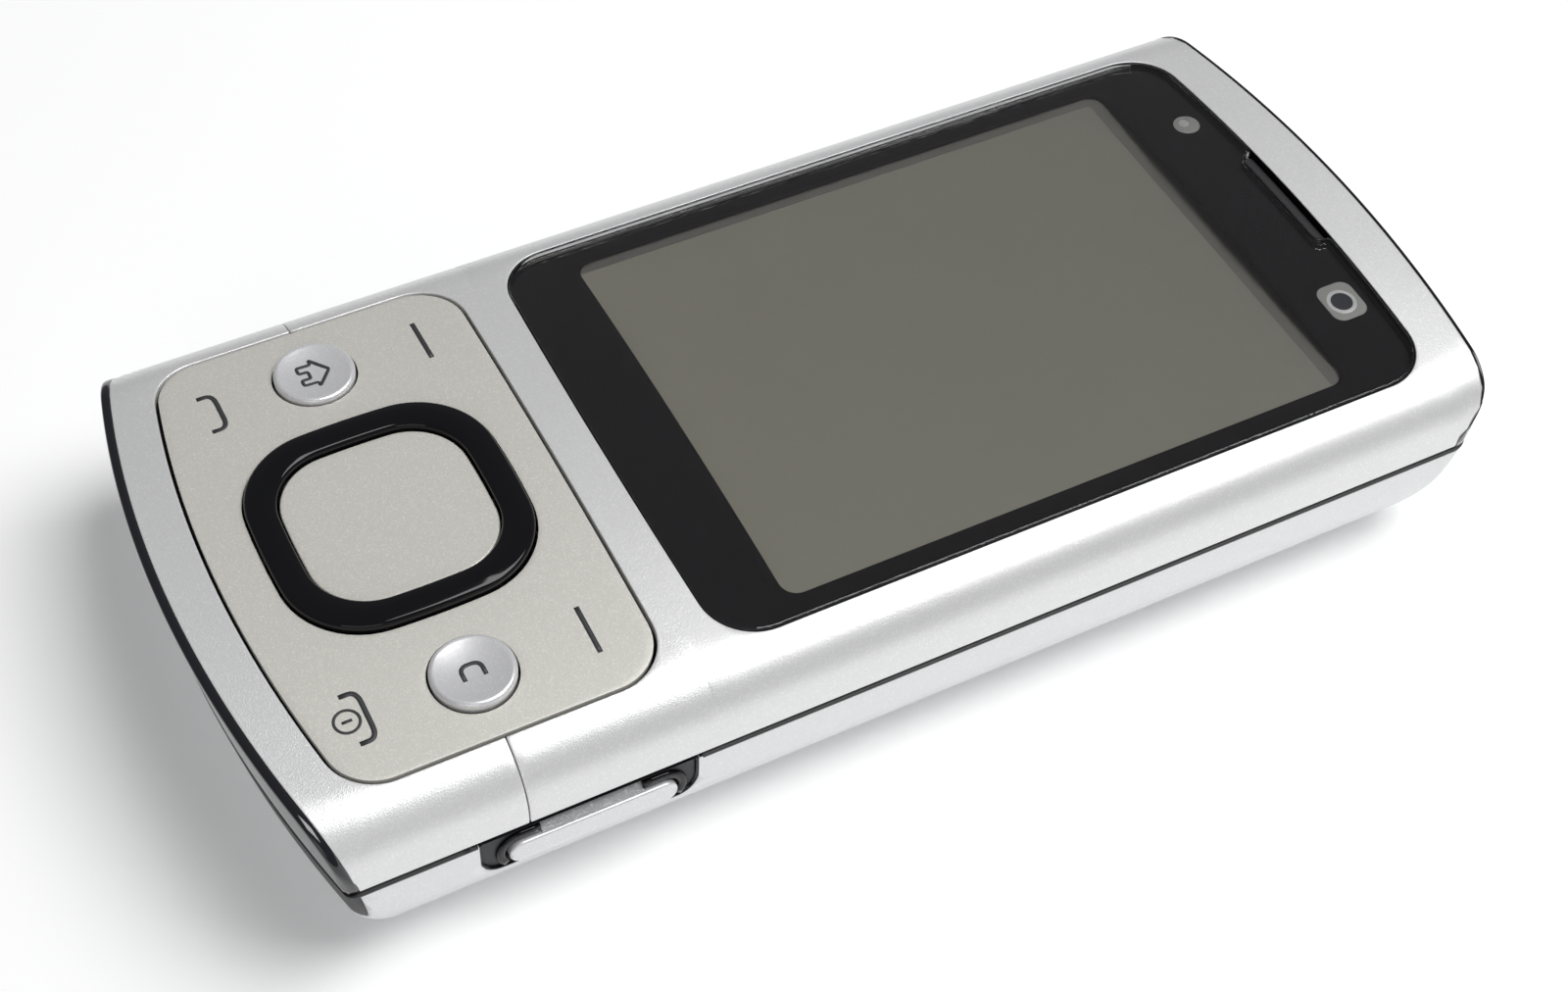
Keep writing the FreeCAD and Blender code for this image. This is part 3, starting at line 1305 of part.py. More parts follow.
def vibration_weight():
    """Eccentric weight on the motor's shaft."""
    x, y, z = motor_place()
    start = x + MOTOR_LENGTH
    shaft = Part.makeCylinder(SHAFT_R, WEIGHT_LENGTH + 2.0, vec(start - 1.8, y, z), vec(1, 0, 0))
    weight = Part.makeCylinder(MOTOR_R - 0.15, WEIGHT_LENGTH, vec(start + 0.3, y, z), vec(1, 0, 0))
    weight = weight.cut(box((0, FAR), (-FAR, FAR), (z + 0.5, FAR)))
    return weight.fuse(shaft).removeSplitter()


# Body: camera key

def camera_key_bezel():
    """Black surround in the side recess, with a hooked ridge round each end of the key."""
    outer = side_recess(-0.05).common(box((0, HALF_WIDTH), (-FAR, FAR), (0, BODY_TOP_Z - 0.05)))
    step = box((0, HALF_WIDTH - 1.35), (-FAR, FAR), (BEZEL_Z - 0.15, FAR))
    face = box((HALF_WIDTH - 0.65, FAR), (-FAR, FAR), (0, FAR))
    y = side_key_y()
    z = side_key_z()
    hook = stadium((HALF_WIDTH - 0.75, HALF_WIDTH - 0.05),
                   (y[0] - HOOK_WIDTH, y[1] + HOOK_WIDTH), (z[0] - HOOK_WIDTH, z[1] + HOOK_WIDTH))
    middle = box((0, FAR), (y[0] + 2.2, y[1] - 2.2), (0, FAR))
    hook = hook.cut(middle)
    bezel = outer.cut(step).cut(face).fuse(hook.common(outer))
    hole = stadium((HALF_WIDTH - 2.0, FAR), (y[0] - KEY_GAP, y[1] + KEY_GAP),
                   (z[0] - KEY_GAP, z[1] + KEY_GAP))
    bevel_room = box((HALF_WIDTH - 1.35, FAR), (y[0] + 2.0, y[1] - 2.0), (SIDE_KEY_Z, FAR))
    stem = Part.makeCylinder(0.9, 5, vec(HALF_WIDTH - 3, SIDE_BEZEL_Y, SIDE_KEY_Z), vec(1, 0, 0))
    return cut_all(bezel, [hole, bevel_room, stem]).removeSplitter()


def side_key_y():
    return (SIDE_BEZEL_Y - SIDE_KEY_LENGTH / 2 + 0.15, SIDE_BEZEL_Y + SIDE_KEY_LENGTH / 2 + 0.15)


def side_key_z():
    return (SIDE_KEY_Z - SIDE_KEY_H / 2, SIDE_KEY_Z + SIDE_KEY_H / 2)


def camera_key():
    """Pill-shaped shutter key with a sloping upper shelf."""
    y = side_key_y()
    z = side_key_z()
    low = HALF_WIDTH - 2.0 + SIDE_KEY_TRAVEL + 0.05
    high = HALF_WIDTH + SIDE_KEY_PROUD
    pill = stadium((low, high), y, z)
    shelf = Part.makePolygon([
        vec(HALF_WIDTH - 0.65, z[1] + 0.6), vec(HALF_WIDTH - 0.65, z[1] - 0.8),
        vec(high - 0.2, z[1] - 0.8), vec(high - 0.2, z[1] - 0.02), vec(HALF_WIDTH - 0.65, z[1] + 0.6)])
    shelf = bar(shelf, y[0] + 2.35, y[1] - 2.35)
    return pill.fuse(shelf).removeSplitter()


NUMERIC_NAMES = ["key_star", "key_0", "key_hash", "key_7", "key_8", "key_9",
                 "key_4", "key_5", "key_6", "key_1", "key_2", "key_3"]

PIECES = {piece.__name__: piece for piece in (
    upper_frame, lower_frame, window_glass, inner_frame, display_module, keypad_plate,
    keypad_web, nav_ring, nav_ring_pad, select_key, home_key, clear_key, function_domes,
    ui_board, earpiece, front_camera, light_sensor, slider_back_cover, slide_carriage,
    slide_runners, top_end_cap, bottom_end_cap, slider_screws, chassis, keypad_bezel,
    keypad_domes, main_board, shield_cans, antenna_module, vibration_motor, vibration_weight,
    loudspeaker, camera_module, lens_barrel, camera_window, camera_flash, battery,
    battery_contacts, card_holder, usb_socket, usb_door, battery_cover, camera_key,
    camera_key_bezel, slide_base_plate, slide_spring, flex_cable, body_screws)}

os.makedirs("parts", exist_ok=True)
for name, piece in PIECES.items():
    piece().exportStep("parts/" + name + ".step")
for index, name in enumerate(NUMERIC_NAMES):
    numeric_key(index).exportStep("parts/" + name + ".step")
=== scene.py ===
import bpy
import bmesh
import json
import numpy as np
from mathutils import Matrix, Vector


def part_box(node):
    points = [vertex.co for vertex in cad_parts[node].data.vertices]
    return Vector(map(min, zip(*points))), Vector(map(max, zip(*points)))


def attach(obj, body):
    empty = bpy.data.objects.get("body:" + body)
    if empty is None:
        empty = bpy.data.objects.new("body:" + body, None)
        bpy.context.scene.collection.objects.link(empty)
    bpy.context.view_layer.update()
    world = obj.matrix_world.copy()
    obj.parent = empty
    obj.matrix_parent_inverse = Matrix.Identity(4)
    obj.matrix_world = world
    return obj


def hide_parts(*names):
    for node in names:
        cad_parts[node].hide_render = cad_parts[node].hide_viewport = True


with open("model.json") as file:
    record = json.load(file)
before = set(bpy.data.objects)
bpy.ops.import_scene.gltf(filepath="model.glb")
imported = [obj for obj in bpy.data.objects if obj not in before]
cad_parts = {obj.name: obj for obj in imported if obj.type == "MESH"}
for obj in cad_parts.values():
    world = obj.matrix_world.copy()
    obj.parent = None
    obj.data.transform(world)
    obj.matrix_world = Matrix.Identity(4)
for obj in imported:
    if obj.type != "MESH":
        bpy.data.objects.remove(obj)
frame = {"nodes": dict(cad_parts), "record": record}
scene = bpy.context.scene
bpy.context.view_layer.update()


# ---- Aluminium front frames ---------------------------------------------------------------
# Two bead-blasted, anodised aluminium channels make the slider's crowned front. They meet at a
# hairline seam beside the keypad, and both are cut out round the window and the keypad plate.

CREST, CROWN_R, SHOULDER_R = 15.9, 250.0, 4.5
HALF_W, HALF_L, PARTING = 23.05, 47.6, 9.85
SHOULDER_X = HALF_W - SHOULDER_R
SHOULDER_Z = CREST - CROWN_R + np.sqrt((CROWN_R - SHOULDER_R) ** 2 - SHOULDER_X ** 2)
LEAN = np.arcsin(SHOULDER_X / (CROWN_R - SHOULDER_R))
CROWN_RUN = CROWN_R * LEAN
SHOULDER_RUN = SHOULDER_R * (np.pi / 2 - LEAN)
SECTION_RUN = CROWN_RUN + SHOULDER_RUN + SHOULDER_Z - PARTING
END_LEAN = 0.144
ENDS = {1: (160.3, 2.0, 0.3), -1: (88.7, 0.8, 0.65)}


def crown(x):
    """Height of the crowned front at x: a circle of CROWN_R through the crest."""
    return CREST - CROWN_R + np.sqrt(CROWN_R ** 2 - x ** 2)


def wrap(run, y):
    """The front unrolled: run is the length along the cross-section from the crest, over the
    crown arc, round the shoulder arc and straight down the side."""
    a = np.abs(run)
    turn = np.clip(LEAN + (a - CROWN_RUN) / SHOULDER_R, LEAN, np.pi / 2)
    on_crown = a < CROWN_RUN
    x = np.where(on_crown, CROWN_R * np.sin(a / CROWN_R), SHOULDER_X + SHOULDER_R * np.sin(turn))
    z = np.where(on_crown, CREST - CROWN_R * (1 - np.cos(a / CROWN_R)),
                 SHOULDER_Z + SHOULDER_R * np.cos(turn) - np.clip(a - CROWN_RUN - SHOULDER_RUN, 0, None))
    return np.stack([np.sign(run) * x, y, z], -1)


def swing(cx, cy, r, start, end, count):
    """Points on a circle from angle start to angle end, the last one left out."""
    a = np.linspace(start, end, count + 1)[:-1]
    return np.stack([cx + r * np.cos(a), cy + r * np.sin(a)], -1)


def rounded(half, low, low_r, low_c, high, high_r, high_c, ends=24, sides=24, corner=6, waist=None):
    """Loop round a plate: straight sides at x = +-half, ends that are arcs of low_r and high_r
    through (0, low) and (0, high), corner arcs of low_c and high_c. It starts at the middle of
    the lower left corner and runs anticlockwise: lower end, right side, upper end, left side."""
    def corner_of(crest, bulge, c, sign):
        reach = bulge - c
        middle = crest - sign * bulge
        cy = middle + sign * np.sqrt(reach ** 2 - (half - c) ** 2)
        return middle, cy, np.arctan2(cy - middle, half - c)
    low_r = low_r or 1e5
    high_r = high_r or 1e5
    lm, ly, la = corner_of(low, low_r, low_c, -1)
    hm, hy, ha = corner_of(high, high_r, high_c, 1)
    waist = (ly + hy) / 2 if waist is None else waist
    e, s = ends // 2, sides // 2
    straight = np.concatenate([np.linspace(ly, waist, s + 1)[:-1], np.linspace(waist, hy, s + 1)[:-1]])
    right = np.concatenate([
        swing(0, lm, low_r, -np.pi / 2, la, e),
        swing(half - low_c, ly, low_c, la, 0, 2 * corner),
        np.stack([np.full(2 * s, half), straight], -1),
        swing(half - high_c, hy, high_c, 0, ha, 2 * corner),
        swing(0, hm, high_r, ha, np.pi / 2, e),
    ])
    left = np.concatenate([[[0, high]], right[:0:-1] * [-1, 1]])
    loop = np.concatenate([right, left])
    return np.roll(loop, e + corner, axis=0)


def grid_quads(rows, columns, ring=False, start=0):
    """Quads of a grid of points stored row by row; ring joins the last column to the first."""
    i, j = np.meshgrid(np.arange(rows - 1), np.arange(columns if ring else columns - 1), indexing="ij")
    k = (j + 1) % columns
    return start + np.stack([i * columns + j, i * columns + k, (i + 1) * columns + k, (i + 1) * columns + j],
                            -1).reshape(-1, 4)


def piece(name, points, quads, material, body, replaced=(), slot=None, flip=False, fill_ends=False):
    """Mesh from points in millimetres and quads: doubles joined, smooth, riding on a body.
    fill_ends closes the two small faces where a profile's run stops."""
    quads = np.asarray(quads)
    mesh = bpy.data.meshes.new(name)
    mesh.from_pydata((np.asarray(points).reshape(-1, 3) / 1000).tolist(), [],
                     (quads[:, ::-1] if flip else quads).tolist())
    bm = bmesh.new()
    bm.from_mesh(mesh)
    bmesh.ops.remove_doubles(bm, verts=bm.verts, dist=1e-7)
    bmesh.ops.dissolve_degenerate(bm, edges=bm.edges, dist=1e-8)
    if fill_ends:
        bmesh.ops.holes_fill(bm, edges=[e for e in bm.edges if e.is_boundary], sides=0)
        bmesh.ops.recalc_face_normals(bm, faces=bm.faces)
    bm.to_mesh(mesh)
    bm.free()
    mesh.shade_smooth()
    mesh.materials.append(material)
    obj = bpy.data.objects.new(name, mesh)
    scene.collection.objects.link(obj)
    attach(obj, body)
    if replaced:
        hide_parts(*replaced)
    return obj


def edged_sheet(obj, thickness, bevel):
    """Gives a sheet its wall, rounds its sharp edges and keeps its broad faces smooth."""
    wall = obj.modifiers.new("wall", "SOLIDIFY")
    wall.thickness = thickness / 1000
    wall.offset = -1
    edge = obj.modifiers.new("edge", "BEVEL")
    edge.width = bevel / 1000
    edge.segments = 3
    edge.limit_method = "ANGLE"
    edge.angle_limit = 0.7
    obj.modifiers.new("broad_faces", "WEIGHTED_NORMAL").keep_sharp = True


def new_material(name, colour, roughness, metallic=0.0, **sockets):
    """Principled material; the other constants are set on the shader's own sockets."""
    material = bpy.data.materials.new(name)
    material.use_nodes = True
    shader = material.node_tree.nodes["Principled BSDF"]
    shader.inputs["Base Color"].default_value = (*colour, 1)
    shader.inputs["Roughness"].default_value = roughness
    shader.inputs["Metallic"].default_value = metallic
    for key, value in sockets.items():
        shader.inputs[key.replace("_", " ")].default_value = value
    return material


def math_node(tree, kind, a, b):
    """Output of a new math node in the tree; each of a and b is a number or a socket."""
    node = tree.nodes.new("ShaderNodeMath")
    node.operation = kind
    for socket, value in zip(node.inputs, (a, b)):
        if isinstance(value, (int, float)):
            socket.default_value = value
        else:
            tree.links.new(value, socket)
    return node.outputs[0]


def grain_group():
    """Shader group shared by every blasted, painted or moulded surface. It puts out the colour
    varied by a coarse cloud, with small bright flakes, a roughness that follows the cloud, and
    a normal roughened by a fine grain."""
    group = bpy.data.node_groups.new("surface_grain", "ShaderNodeTree")
    for name, kind, value in (
            ("Colour", "NodeSocketColor", (0.8, 0.8, 0.8, 1)), ("Roughness", "NodeSocketFloat", 0.35),
            ("Grain Size", "NodeSocketFloat", 0.1), ("Grain Depth", "NodeSocketFloat", 0.1),
            ("Cloud", "NodeSocketFloat", 0.03), ("Flakes", "NodeSocketFloat", 0.0),
            ("Stretch", "NodeSocketVector", (1, 1, 1))):
        socket = group.interface.new_socket(name, in_out="INPUT", socket_type=kind)
        socket.default_value = value
    for name, kind in (("Colour", "NodeSocketColor"), ("Roughness", "NodeSocketFloat"),
                       ("Normal", "NodeSocketVector")):
        group.interface.new_socket(name, in_out="OUTPUT", socket_type=kind)
    nodes, links = group.nodes, group.links
    source = nodes.new("NodeGroupInput")
    result = nodes.new("NodeGroupOutput")
    coordinates = nodes.new("ShaderNodeTexCoord")
    place = nodes.new("ShaderNodeVectorMath")
    place.operation = "MULTIPLY"
    links.new(coordinates.outputs["Object"], place.inputs[0])
    links.new(source.outputs["Stretch"], place.inputs[1])

    def math(kind, a, b):
        return math_node(group, kind, a, b)

    def noise(scale, detail):
        node = nodes.new("ShaderNodeTexNoise")
        node.inputs["Detail"].default_value = detail
        links.new(place.outputs[0], node.inputs["Vector"])
        if isinstance(scale, (int, float)):
            node.inputs["Scale"].default_value = scale
        else:
            links.new(scale, node.inputs["Scale"])
        return node.outputs["Fac"]

    per_metre = math("DIVIDE", 1000.0, source.outputs["Grain Size"])
    grain = noise(per_metre, 3.0)
    cloud = math("SUBTRACT", noise(120.0, 4.0), 0.5)
    flake = nodes.new("ShaderNodeTexVoronoi")
    links.new(place.outputs[0], flake.inputs["Vector"])
    links.new(per_metre, flake.inputs["Scale"])
    tint = nodes.new("ShaderNodeSeparateColor")
    links.new(flake.outputs["Color"], tint.inputs[0])
    lit = math("MULTIPLY", math("POWER", tint.outputs[0], 6.0), source.outputs["Flakes"])
    level = math("ADD", math("ADD", 1.0, math("MULTIPLY", cloud, source.outputs["Cloud"])), lit)
    shade = nodes.new("ShaderNodeVectorMath")
    shade.operation = "SCALE"
    links.new(source.outputs["Colour"], shade.inputs[0])
    links.new(level, shade.inputs["Scale"])
    links.new(shade.outputs[0], result.inputs["Colour"])
    rough = math("MULTIPLY", source.outputs["Roughness"],
                 math("ADD", 1.0, math("MULTIPLY", cloud, math("MULTIPLY", source.outputs["Cloud"], 3.0))))
    links.new(rough, result.inputs["Roughness"])
    bump = nodes.new("ShaderNodeBump")
    bump.inputs["Distance"].default_value = 0.00004
    links.new(source.outputs["Grain Depth"], bump.inputs["Strength"])
    links.new(grain, bump.inputs["Height"])
    links.new(bump.outputs[0], result.inputs["Normal"])
    return group


surface_grain = grain_group()


def grained(material, **values):
    """Puts the shared grain between the material's own values and its shader."""
    tree = material.node_tree
    shader = tree.nodes["Principled BSDF"]
    node = tree.nodes.new("ShaderNodeGroup")
    node.node_tree = surface_grain
    node.inputs["Colour"].default_value = shader.inputs["Base Color"].default_value
    node.inputs["Roughness"].default_value = shader.inputs["Roughness"].default_value
    for key, value in values.items():
        node.inputs[key.replace("_", " ")].default_value = value
    tree.links.new(node.outputs["Colour"], shader.inputs["Base Color"])
    tree.links.new(node.outputs["Roughness"], shader.inputs["Roughness"])
    tree.links.new(node.outputs["Normal"], shader.inputs["Normal"])
    return material


aluminium = grained(new_material("satin_aluminium", (0.79, 0.79, 0.79), 0.34, 0.48),
                    Grain_Size=0.10, Grain_Depth=0.55, Cloud=0.03, Flakes=0.12)

WINDOW = dict(half=19.35, low=-15.8, low_r=375.0, low_c=3.9, high=43.1, high_r=281.0, high_c=3.9)
PLATE = dict(half=19.35, low=-43.6, low_r=85.0, low_c=3.5, high=-19.3, high_r=None, high_c=3.7)
SEAM, SEAM_GAP, STRIP_Y = -31.2, 0.08, -17.5
RIM_ROWS = 20


def grown(size, by):
    """The same outline moved outwards by an equal distance all round."""
    return dict(half=size["half"] + by, low=size["low"] - by, low_r=(size["low_r"] or 1e5) + by,
                low_c=size["low_c"] + by, high=size["high"] + by, high_r=(size["high_r"] or 1e5) + by,
                high_c=size["high_c"] + by)


def end_line(x, z, sign, inside=None):
    """Where the slider ends at x and height z: an arc of the end's radius, moved in by a cap's
    thickness, or the outline's corner arc beyond it. The end leans inwards by END_LEAN for
    each millimetre below the crest."""
    end_r, corner, cap = ENDS[sign]
    x = np.minimum(np.abs(x), HALF_W)
    arc = HALF_L - end_r + np.sqrt((end_r - (cap if inside is None else inside)) ** 2 - x ** 2)
    cx = HALF_W - corner
    cy = HALF_L - end_r + np.sqrt((end_r - corner) ** 2 - cx ** 2)
    bend = cy + np.sqrt(np.clip(corner ** 2 - (x - cx) ** 2, 0, None))
    touch = cx * end_r / (end_r - corner)
    return sign * (np.where(x > touch, np.minimum(arc, bend), arc) - END_LEAN * (CREST - z))


def rim_grid(opening, low_line, high_line, waist):
    """Grid from an opening to the frame's edges, worked out on the unrolled front. Each ray
    runs in a straight line from the opening's loop to the matching point of the border."""
    e, s, c = 24, 24, 6
    inner = rounded(**opening, ends=e, sides=s, corner=c, waist=waist)
    inner[:, 0] = CROWN_R * np.arcsin(inner[:, 0] / CROWN_R)
    across = np.linspace(-SECTION_RUN, SECTION_RUN, e + 2 * c + 1)
    half = s // 2 + c

    def line(value, run):
        at = wrap(run, run)
        return value(at[..., 0], at[..., 2]) if callable(value) else np.full_like(run, value)

    low = line(low_line, across)
    high = line(high_line, across)
    up = np.concatenate([np.linspace(low[-1], waist, half + 1)[:-1], np.linspace(waist, high[-1], half + 1)])
    border = np.concatenate([
        np.stack([across, low], -1)[:-1],
        np.stack([np.full(len(up), SECTION_RUN), up], -1)[:-1],
        np.stack([across, high], -1)[:0:-1],
        np.stack([np.full(len(up), -SECTION_RUN), up], -1)[:0:-1],
    ])
    t = np.linspace(0, 1, RIM_ROWS + 1)[:, None, None]
    rays = inner * (1 - t) + border * t
    return wrap(rays[..., 0], rays[..., 1]), e + 2 * c, s + 2 * c


window_rim, end_steps, side_steps = rim_grid(grown(WINDOW, 0.1), STRIP_Y, lambda x, z: end_line(x, z, 1), 14.0)
plate_rim, _, _ = rim_grid(grown(PLATE, 0.25), lambda x, z: end_line(x, z, -1), STRIP_Y, SEAM)
loop_count = window_rim.shape[1]
first = end_steps + side_steps // 2
last = end_steps * 2 + side_steps + side_steps // 2
over = np.arange(first, last + 1)
under = np.arange(last, first + loop_count + 1) % loop_count
upper_half = plate_rim[:, over].copy()
lower_half = plate_rim[:, under].copy()
upper_half[:, [0, -1], 1] += SEAM_GAP / 2
lower_half[:, [0, -1], 1] -= SEAM_GAP / 2
upper_points = np.concatenate([window_rim.reshape(-1, 3), upper_half.reshape(-1, 3)])
upper_quads = np.concatenate([grid_quads(RIM_ROWS + 1, loop_count, ring=True),
                              grid_quads(RIM_ROWS + 1, len(over), start=window_rim.size // 3)])
upper = piece("upper_front", upper_points, upper_quads, aluminium, "slider", ["upper_frame"],
              "satin_aluminium", flip=True)
lower = piece("lower_front", lower_half, grid_quads(RIM_ROWS + 1, len(under)), aluminium, "slider",
              ["lower_frame"], "satin_aluminium", flip=True)
for shell in (upper, lower):
    edged_sheet(shell, 0.8, 0.08)


# ---- Plastic end caps -----------------------------------------------------------------------
# A moulded gloss black cap closes each end of the aluminium channel. From the front only its edge
# shows: a band that follows the crown, wide at the lower end and a fine line at the upper one.

cap_gloss = new_material("cap_gloss", (0.006, 0.006, 0.009), 0.09, Coat_Weight=0.4, Coat_Roughness=0.03)
CAP_EDGE = 0.22


def end_cap(name, node, sign):
    """Closed slice of the slider: its profile starts at the metal, runs out to the end, turns a
    rounded edge and comes down the end face to the parting line, carried along the section."""
    run = np.linspace(-SECTION_RUN, SECTION_RUN, 161)
    rim = wrap(run, run)[:, [0, 2]]
    along = np.gradient(rim, axis=0)
    inward = np.stack([along[:, 1], -along[:, 0]], -1) / np.linalg.norm(along, axis=1, keepdims=True)
    edge = CAP_EDGE if sign < 0 else 0.12
    inner = rim + edge * inward
    foot = np.stack([inner[-1, 0] * run / SECTION_RUN, np.full(len(run), PARTING)], -1)

    def row(flat, back=0.0, inside=0.0):
        y = end_line(flat[:, 0], flat[:, 1], sign, inside) - sign * back
        return np.stack([flat[:, 0], y, flat[:, 1]], -1)

    metal = ENDS[sign][2] + 0.02
    rows = [row(rim, inside=metal)]
    rows += [row(rim + edge * (1 - np.cos(a)) * inward, edge * (1 - np.sin(a)))
             for a in np.linspace(0, np.pi / 2, 6)]
    rows += [row(inner + (foot - inner) * v) for v in np.linspace(0, 1, 9)[1:]]
    rows += [row(inner + (foot - inner) * v, inside=metal) for v in np.linspace(1, 0, 5)]
    rows.append(rows[0])
    piece(name, np.stack(rows), grid_quads(len(rows), len(run)), cap_gloss, "slider", [node], "black_gloss",
          fill_ends=True)


end_cap("lower_end_cap", "bottom_end_cap", -1)
end_cap("upper_end_cap", "top_end_cap", 1)


# ---- Window, its print, the display and what looks out beside it ---------------------------
# Crowned glass with a bevelled rim lies in the upper frame. Black print on its underside leaves
# the display clear; the front camera, the light sensor and the earpiece slot sit in that border.

def inset(loop, by):
    """The loop moved inwards by an equal distance: each point goes along its own normal."""
    along = np.roll(loop, -1, axis=0) - np.roll(loop, 1, axis=0)
    normal = np.stack([-along[:, 1], along[:, 0]], -1)
    return loop + by * normal / np.linalg.norm(normal, axis=1, keepdims=True)


def fill(loop, ends, sides):
    """Coons patch over a loop of ends + sides + ends + sides steps: the two pairs of opposite
    borders are blended in a straight line, less the blend of the four corners."""
    ring = np.vstack([loop, loop[:1]])
    low, right = ring[:ends + 1], ring[ends:ends + sides + 1]
    high, left = ring[ends + sides:2 * ends + sides + 1][::-1], ring[2 * ends + sides:][::-1]
    s = np.linspace(0, 1, ends + 1)[:, None, None]
    t = np.linspace(0, 1, sides + 1)[None, :, None]
    corners = (1 - s) * (1 - t) * low[0] + s * (1 - t) * low[-1] + (1 - s) * t * high[0] + s * t * high[-1]
    return (1 - t) * low[:, None] + t * high[:, None] + (1 - s) * left[None] + s * right[None] - corners


def moulding(loop, ends, sides, top, low, edge, steps=4):
    """Closed solid over a loop: a wall up from z = low, a rounded edge of radius edge, and a
    top whose height is the function top(x, y)."""
    angles = np.linspace(0, np.pi / 2, steps + 1)
    rows = [np.column_stack([loop, np.full(len(loop), float(low))])]
    for a in angles:
        p = inset(loop, edge * (1 - np.cos(a)))
        rows.append(np.column_stack([p, top(p[:, 0], p[:, 1]) - edge * (1 - np.sin(a))]))
    face = fill(rows[-1][:, :2], ends, sides)
    face = np.concatenate([face, top(face[..., 0], face[..., 1])[..., None]], -1)
    under = fill(loop, ends, sides)
    under = np.concatenate([under, np.full(under.shape[:2] + (1,), float(low))], -1)
    wall = np.stack(rows)
    points = np.concatenate([wall.reshape(-1, 3), face.reshape(-1, 3), under.reshape(-1, 3)])
    quads = np.concatenate([
        grid_quads(len(rows), len(loop), ring=True),
        grid_quads(ends + 1, sides + 1, start=wall.size // 3)[:, ::-1],
        grid_quads(ends + 1, sides + 1, start=(wall.size + face.size) // 3),
    ])
    return points, quads


def notched(loop, half, depth, corner=0.7, lip=0.35):
    """The window's loop with a slot for the earpiece in its upper end: down a side from a
    rounded lip, round two corner arcs, and up again, spread over the points it replaces."""
    near = half + 1.2
    taken = np.flatnonzero((loop[:, 1] > 40) & (np.abs(loop[:, 0]) <= near))
    top = np.interp(half + lip, loop[taken, 0][::-1], loop[taken, 1][::-1])
    right = np.concatenate([
        [[near, np.interp(near, loop[taken, 0][::-1], loop[taken, 1][::-1])]],
        swing(half + lip, top - lip, lip, np.pi / 2, np.pi, 8),
        swing(half - corner, top - depth + corner, corner, 0, -np.pi / 2, 10),
        [[half - corner, top - depth]]])
    path = np.concatenate([right, right[::-1] * [-1, 1]])
    length = np.concatenate([[0], np.cumsum(np.linalg.norm(np.diff(path, axis=0), axis=1))])
    at = np.linspace(0, length[-1], len(taken))
    loop = loop.copy()
    loop[taken] = np.stack([np.interp(at, length, path[:, 0]), np.interp(at, length, path[:, 1])], -1)
    return loop


GLASS_PROUD, GLASS_UNDER, PRINT_UNDER = 0.05, 1.05, 1.12
glass = new_material("window_glass", (1.0, 1.0, 1.0), 0.0, Transmission_Weight=1.0, IOR=1.4)
tree = glass.node_tree
shadow = tree.nodes.new("ShaderNodeLightPath").outputs["Is Shadow Ray"]
tree.links.new(math_node(tree, "SUBTRACT", 1.0, shadow), tree.nodes["Principled BSDF"].inputs["Alpha"])

window_loop = notched(rounded(**WINDOW, ends=260, sides=48, corner=10), 5.25, 1.1)
pane_points, pane_quads = moulding(window_loop, 280, 68, lambda x, y: crown(x) + GLASS_PROUD, 14.1, 0.16)
deep = pane_points[:, 2] < 14.2
pane_points[deep, 2] = crown(pane_points[deep, 0]) - GLASS_UNDER
piece("window", pane_points, pane_quads, glass, "slider", ["window_glass"], "window_glass")

window_print = new_material("window_print", (0.004, 0.0035, 0.004), 0.5, Specular_IOR_Level=0.0)
opening = rounded(17.2, -9.73, None, 1.3, 36.33, None, 1.3, ends=24, sides=24)
border = rounded(**grown(WINDOW, -0.05), ends=24, sides=24)
t = np.linspace(0, 1, 9)[:, None, None]
mask = opening * (1 - t) + border * t
mask = np.concatenate([mask, crown(mask[..., 0])[..., None] - PRINT_UNDER], -1)
skirt = np.stack([np.column_stack([rounded(**grown(WINDOW, 0.03), ends=24, sides=24), z])
                  for z in crown(border[:, 0]) - np.array([[1.08], [0.7], [0.02]])])
mask = np.concatenate([mask, skirt])
sheet = piece("window_print", mask, grid_quads(12, mask.shape[1], ring=True), window_print, "slider",
              slot="black_satin", flip=True)
film = sheet.modifiers.new("film", "SOLIDIFY")
film.thickness = 0.00003
film.offset = -1


def level(z):
    return lambda x, y: np.full(np.shape(x), float(z))


def round_loop(x, y, r, count=48):
    """Circle that starts at its lower left, as every loop here does."""
    return swing(x, y, r, -3 * np.pi / 4, 5 * np.pi / 4, count)


speaker_cloth = grained(new_material("earpiece_cloth", (0.016, 0.016, 0.018), 0.6),
                        Grain_Size=0.12, Grain_Depth=0.9, Cloud=0.1)
pad = rounded(5.15, 41.95, None, 0.6, 43.0, None, 0.3, ends=16, sides=4, corner=4)
piece("earpiece_grille", *moulding(pad, 24, 12, lambda x, y: crown(x) - 0.55, 14.75, 0.05), speaker_cloth,
      "slider", slot="dark_mesh")

camera_tile = new_material("camera_tile", (0.105, 0.105, 0.098), 0.35)
lens_black = new_material("lens_black", (0.01, 0.01, 0.014), 0.05, Coat_Weight=1.0, Coat_Roughness=0.02)
lens_rim = new_material("lens_rim", (0.42, 0.42, 0.42), 0.3, 0.8)


def under_glass(proud):
    """Just under the glass, whose underside is 0.07 mm above the print."""
    return lambda x, y: crown(x) - PRINT_UNDER + proud


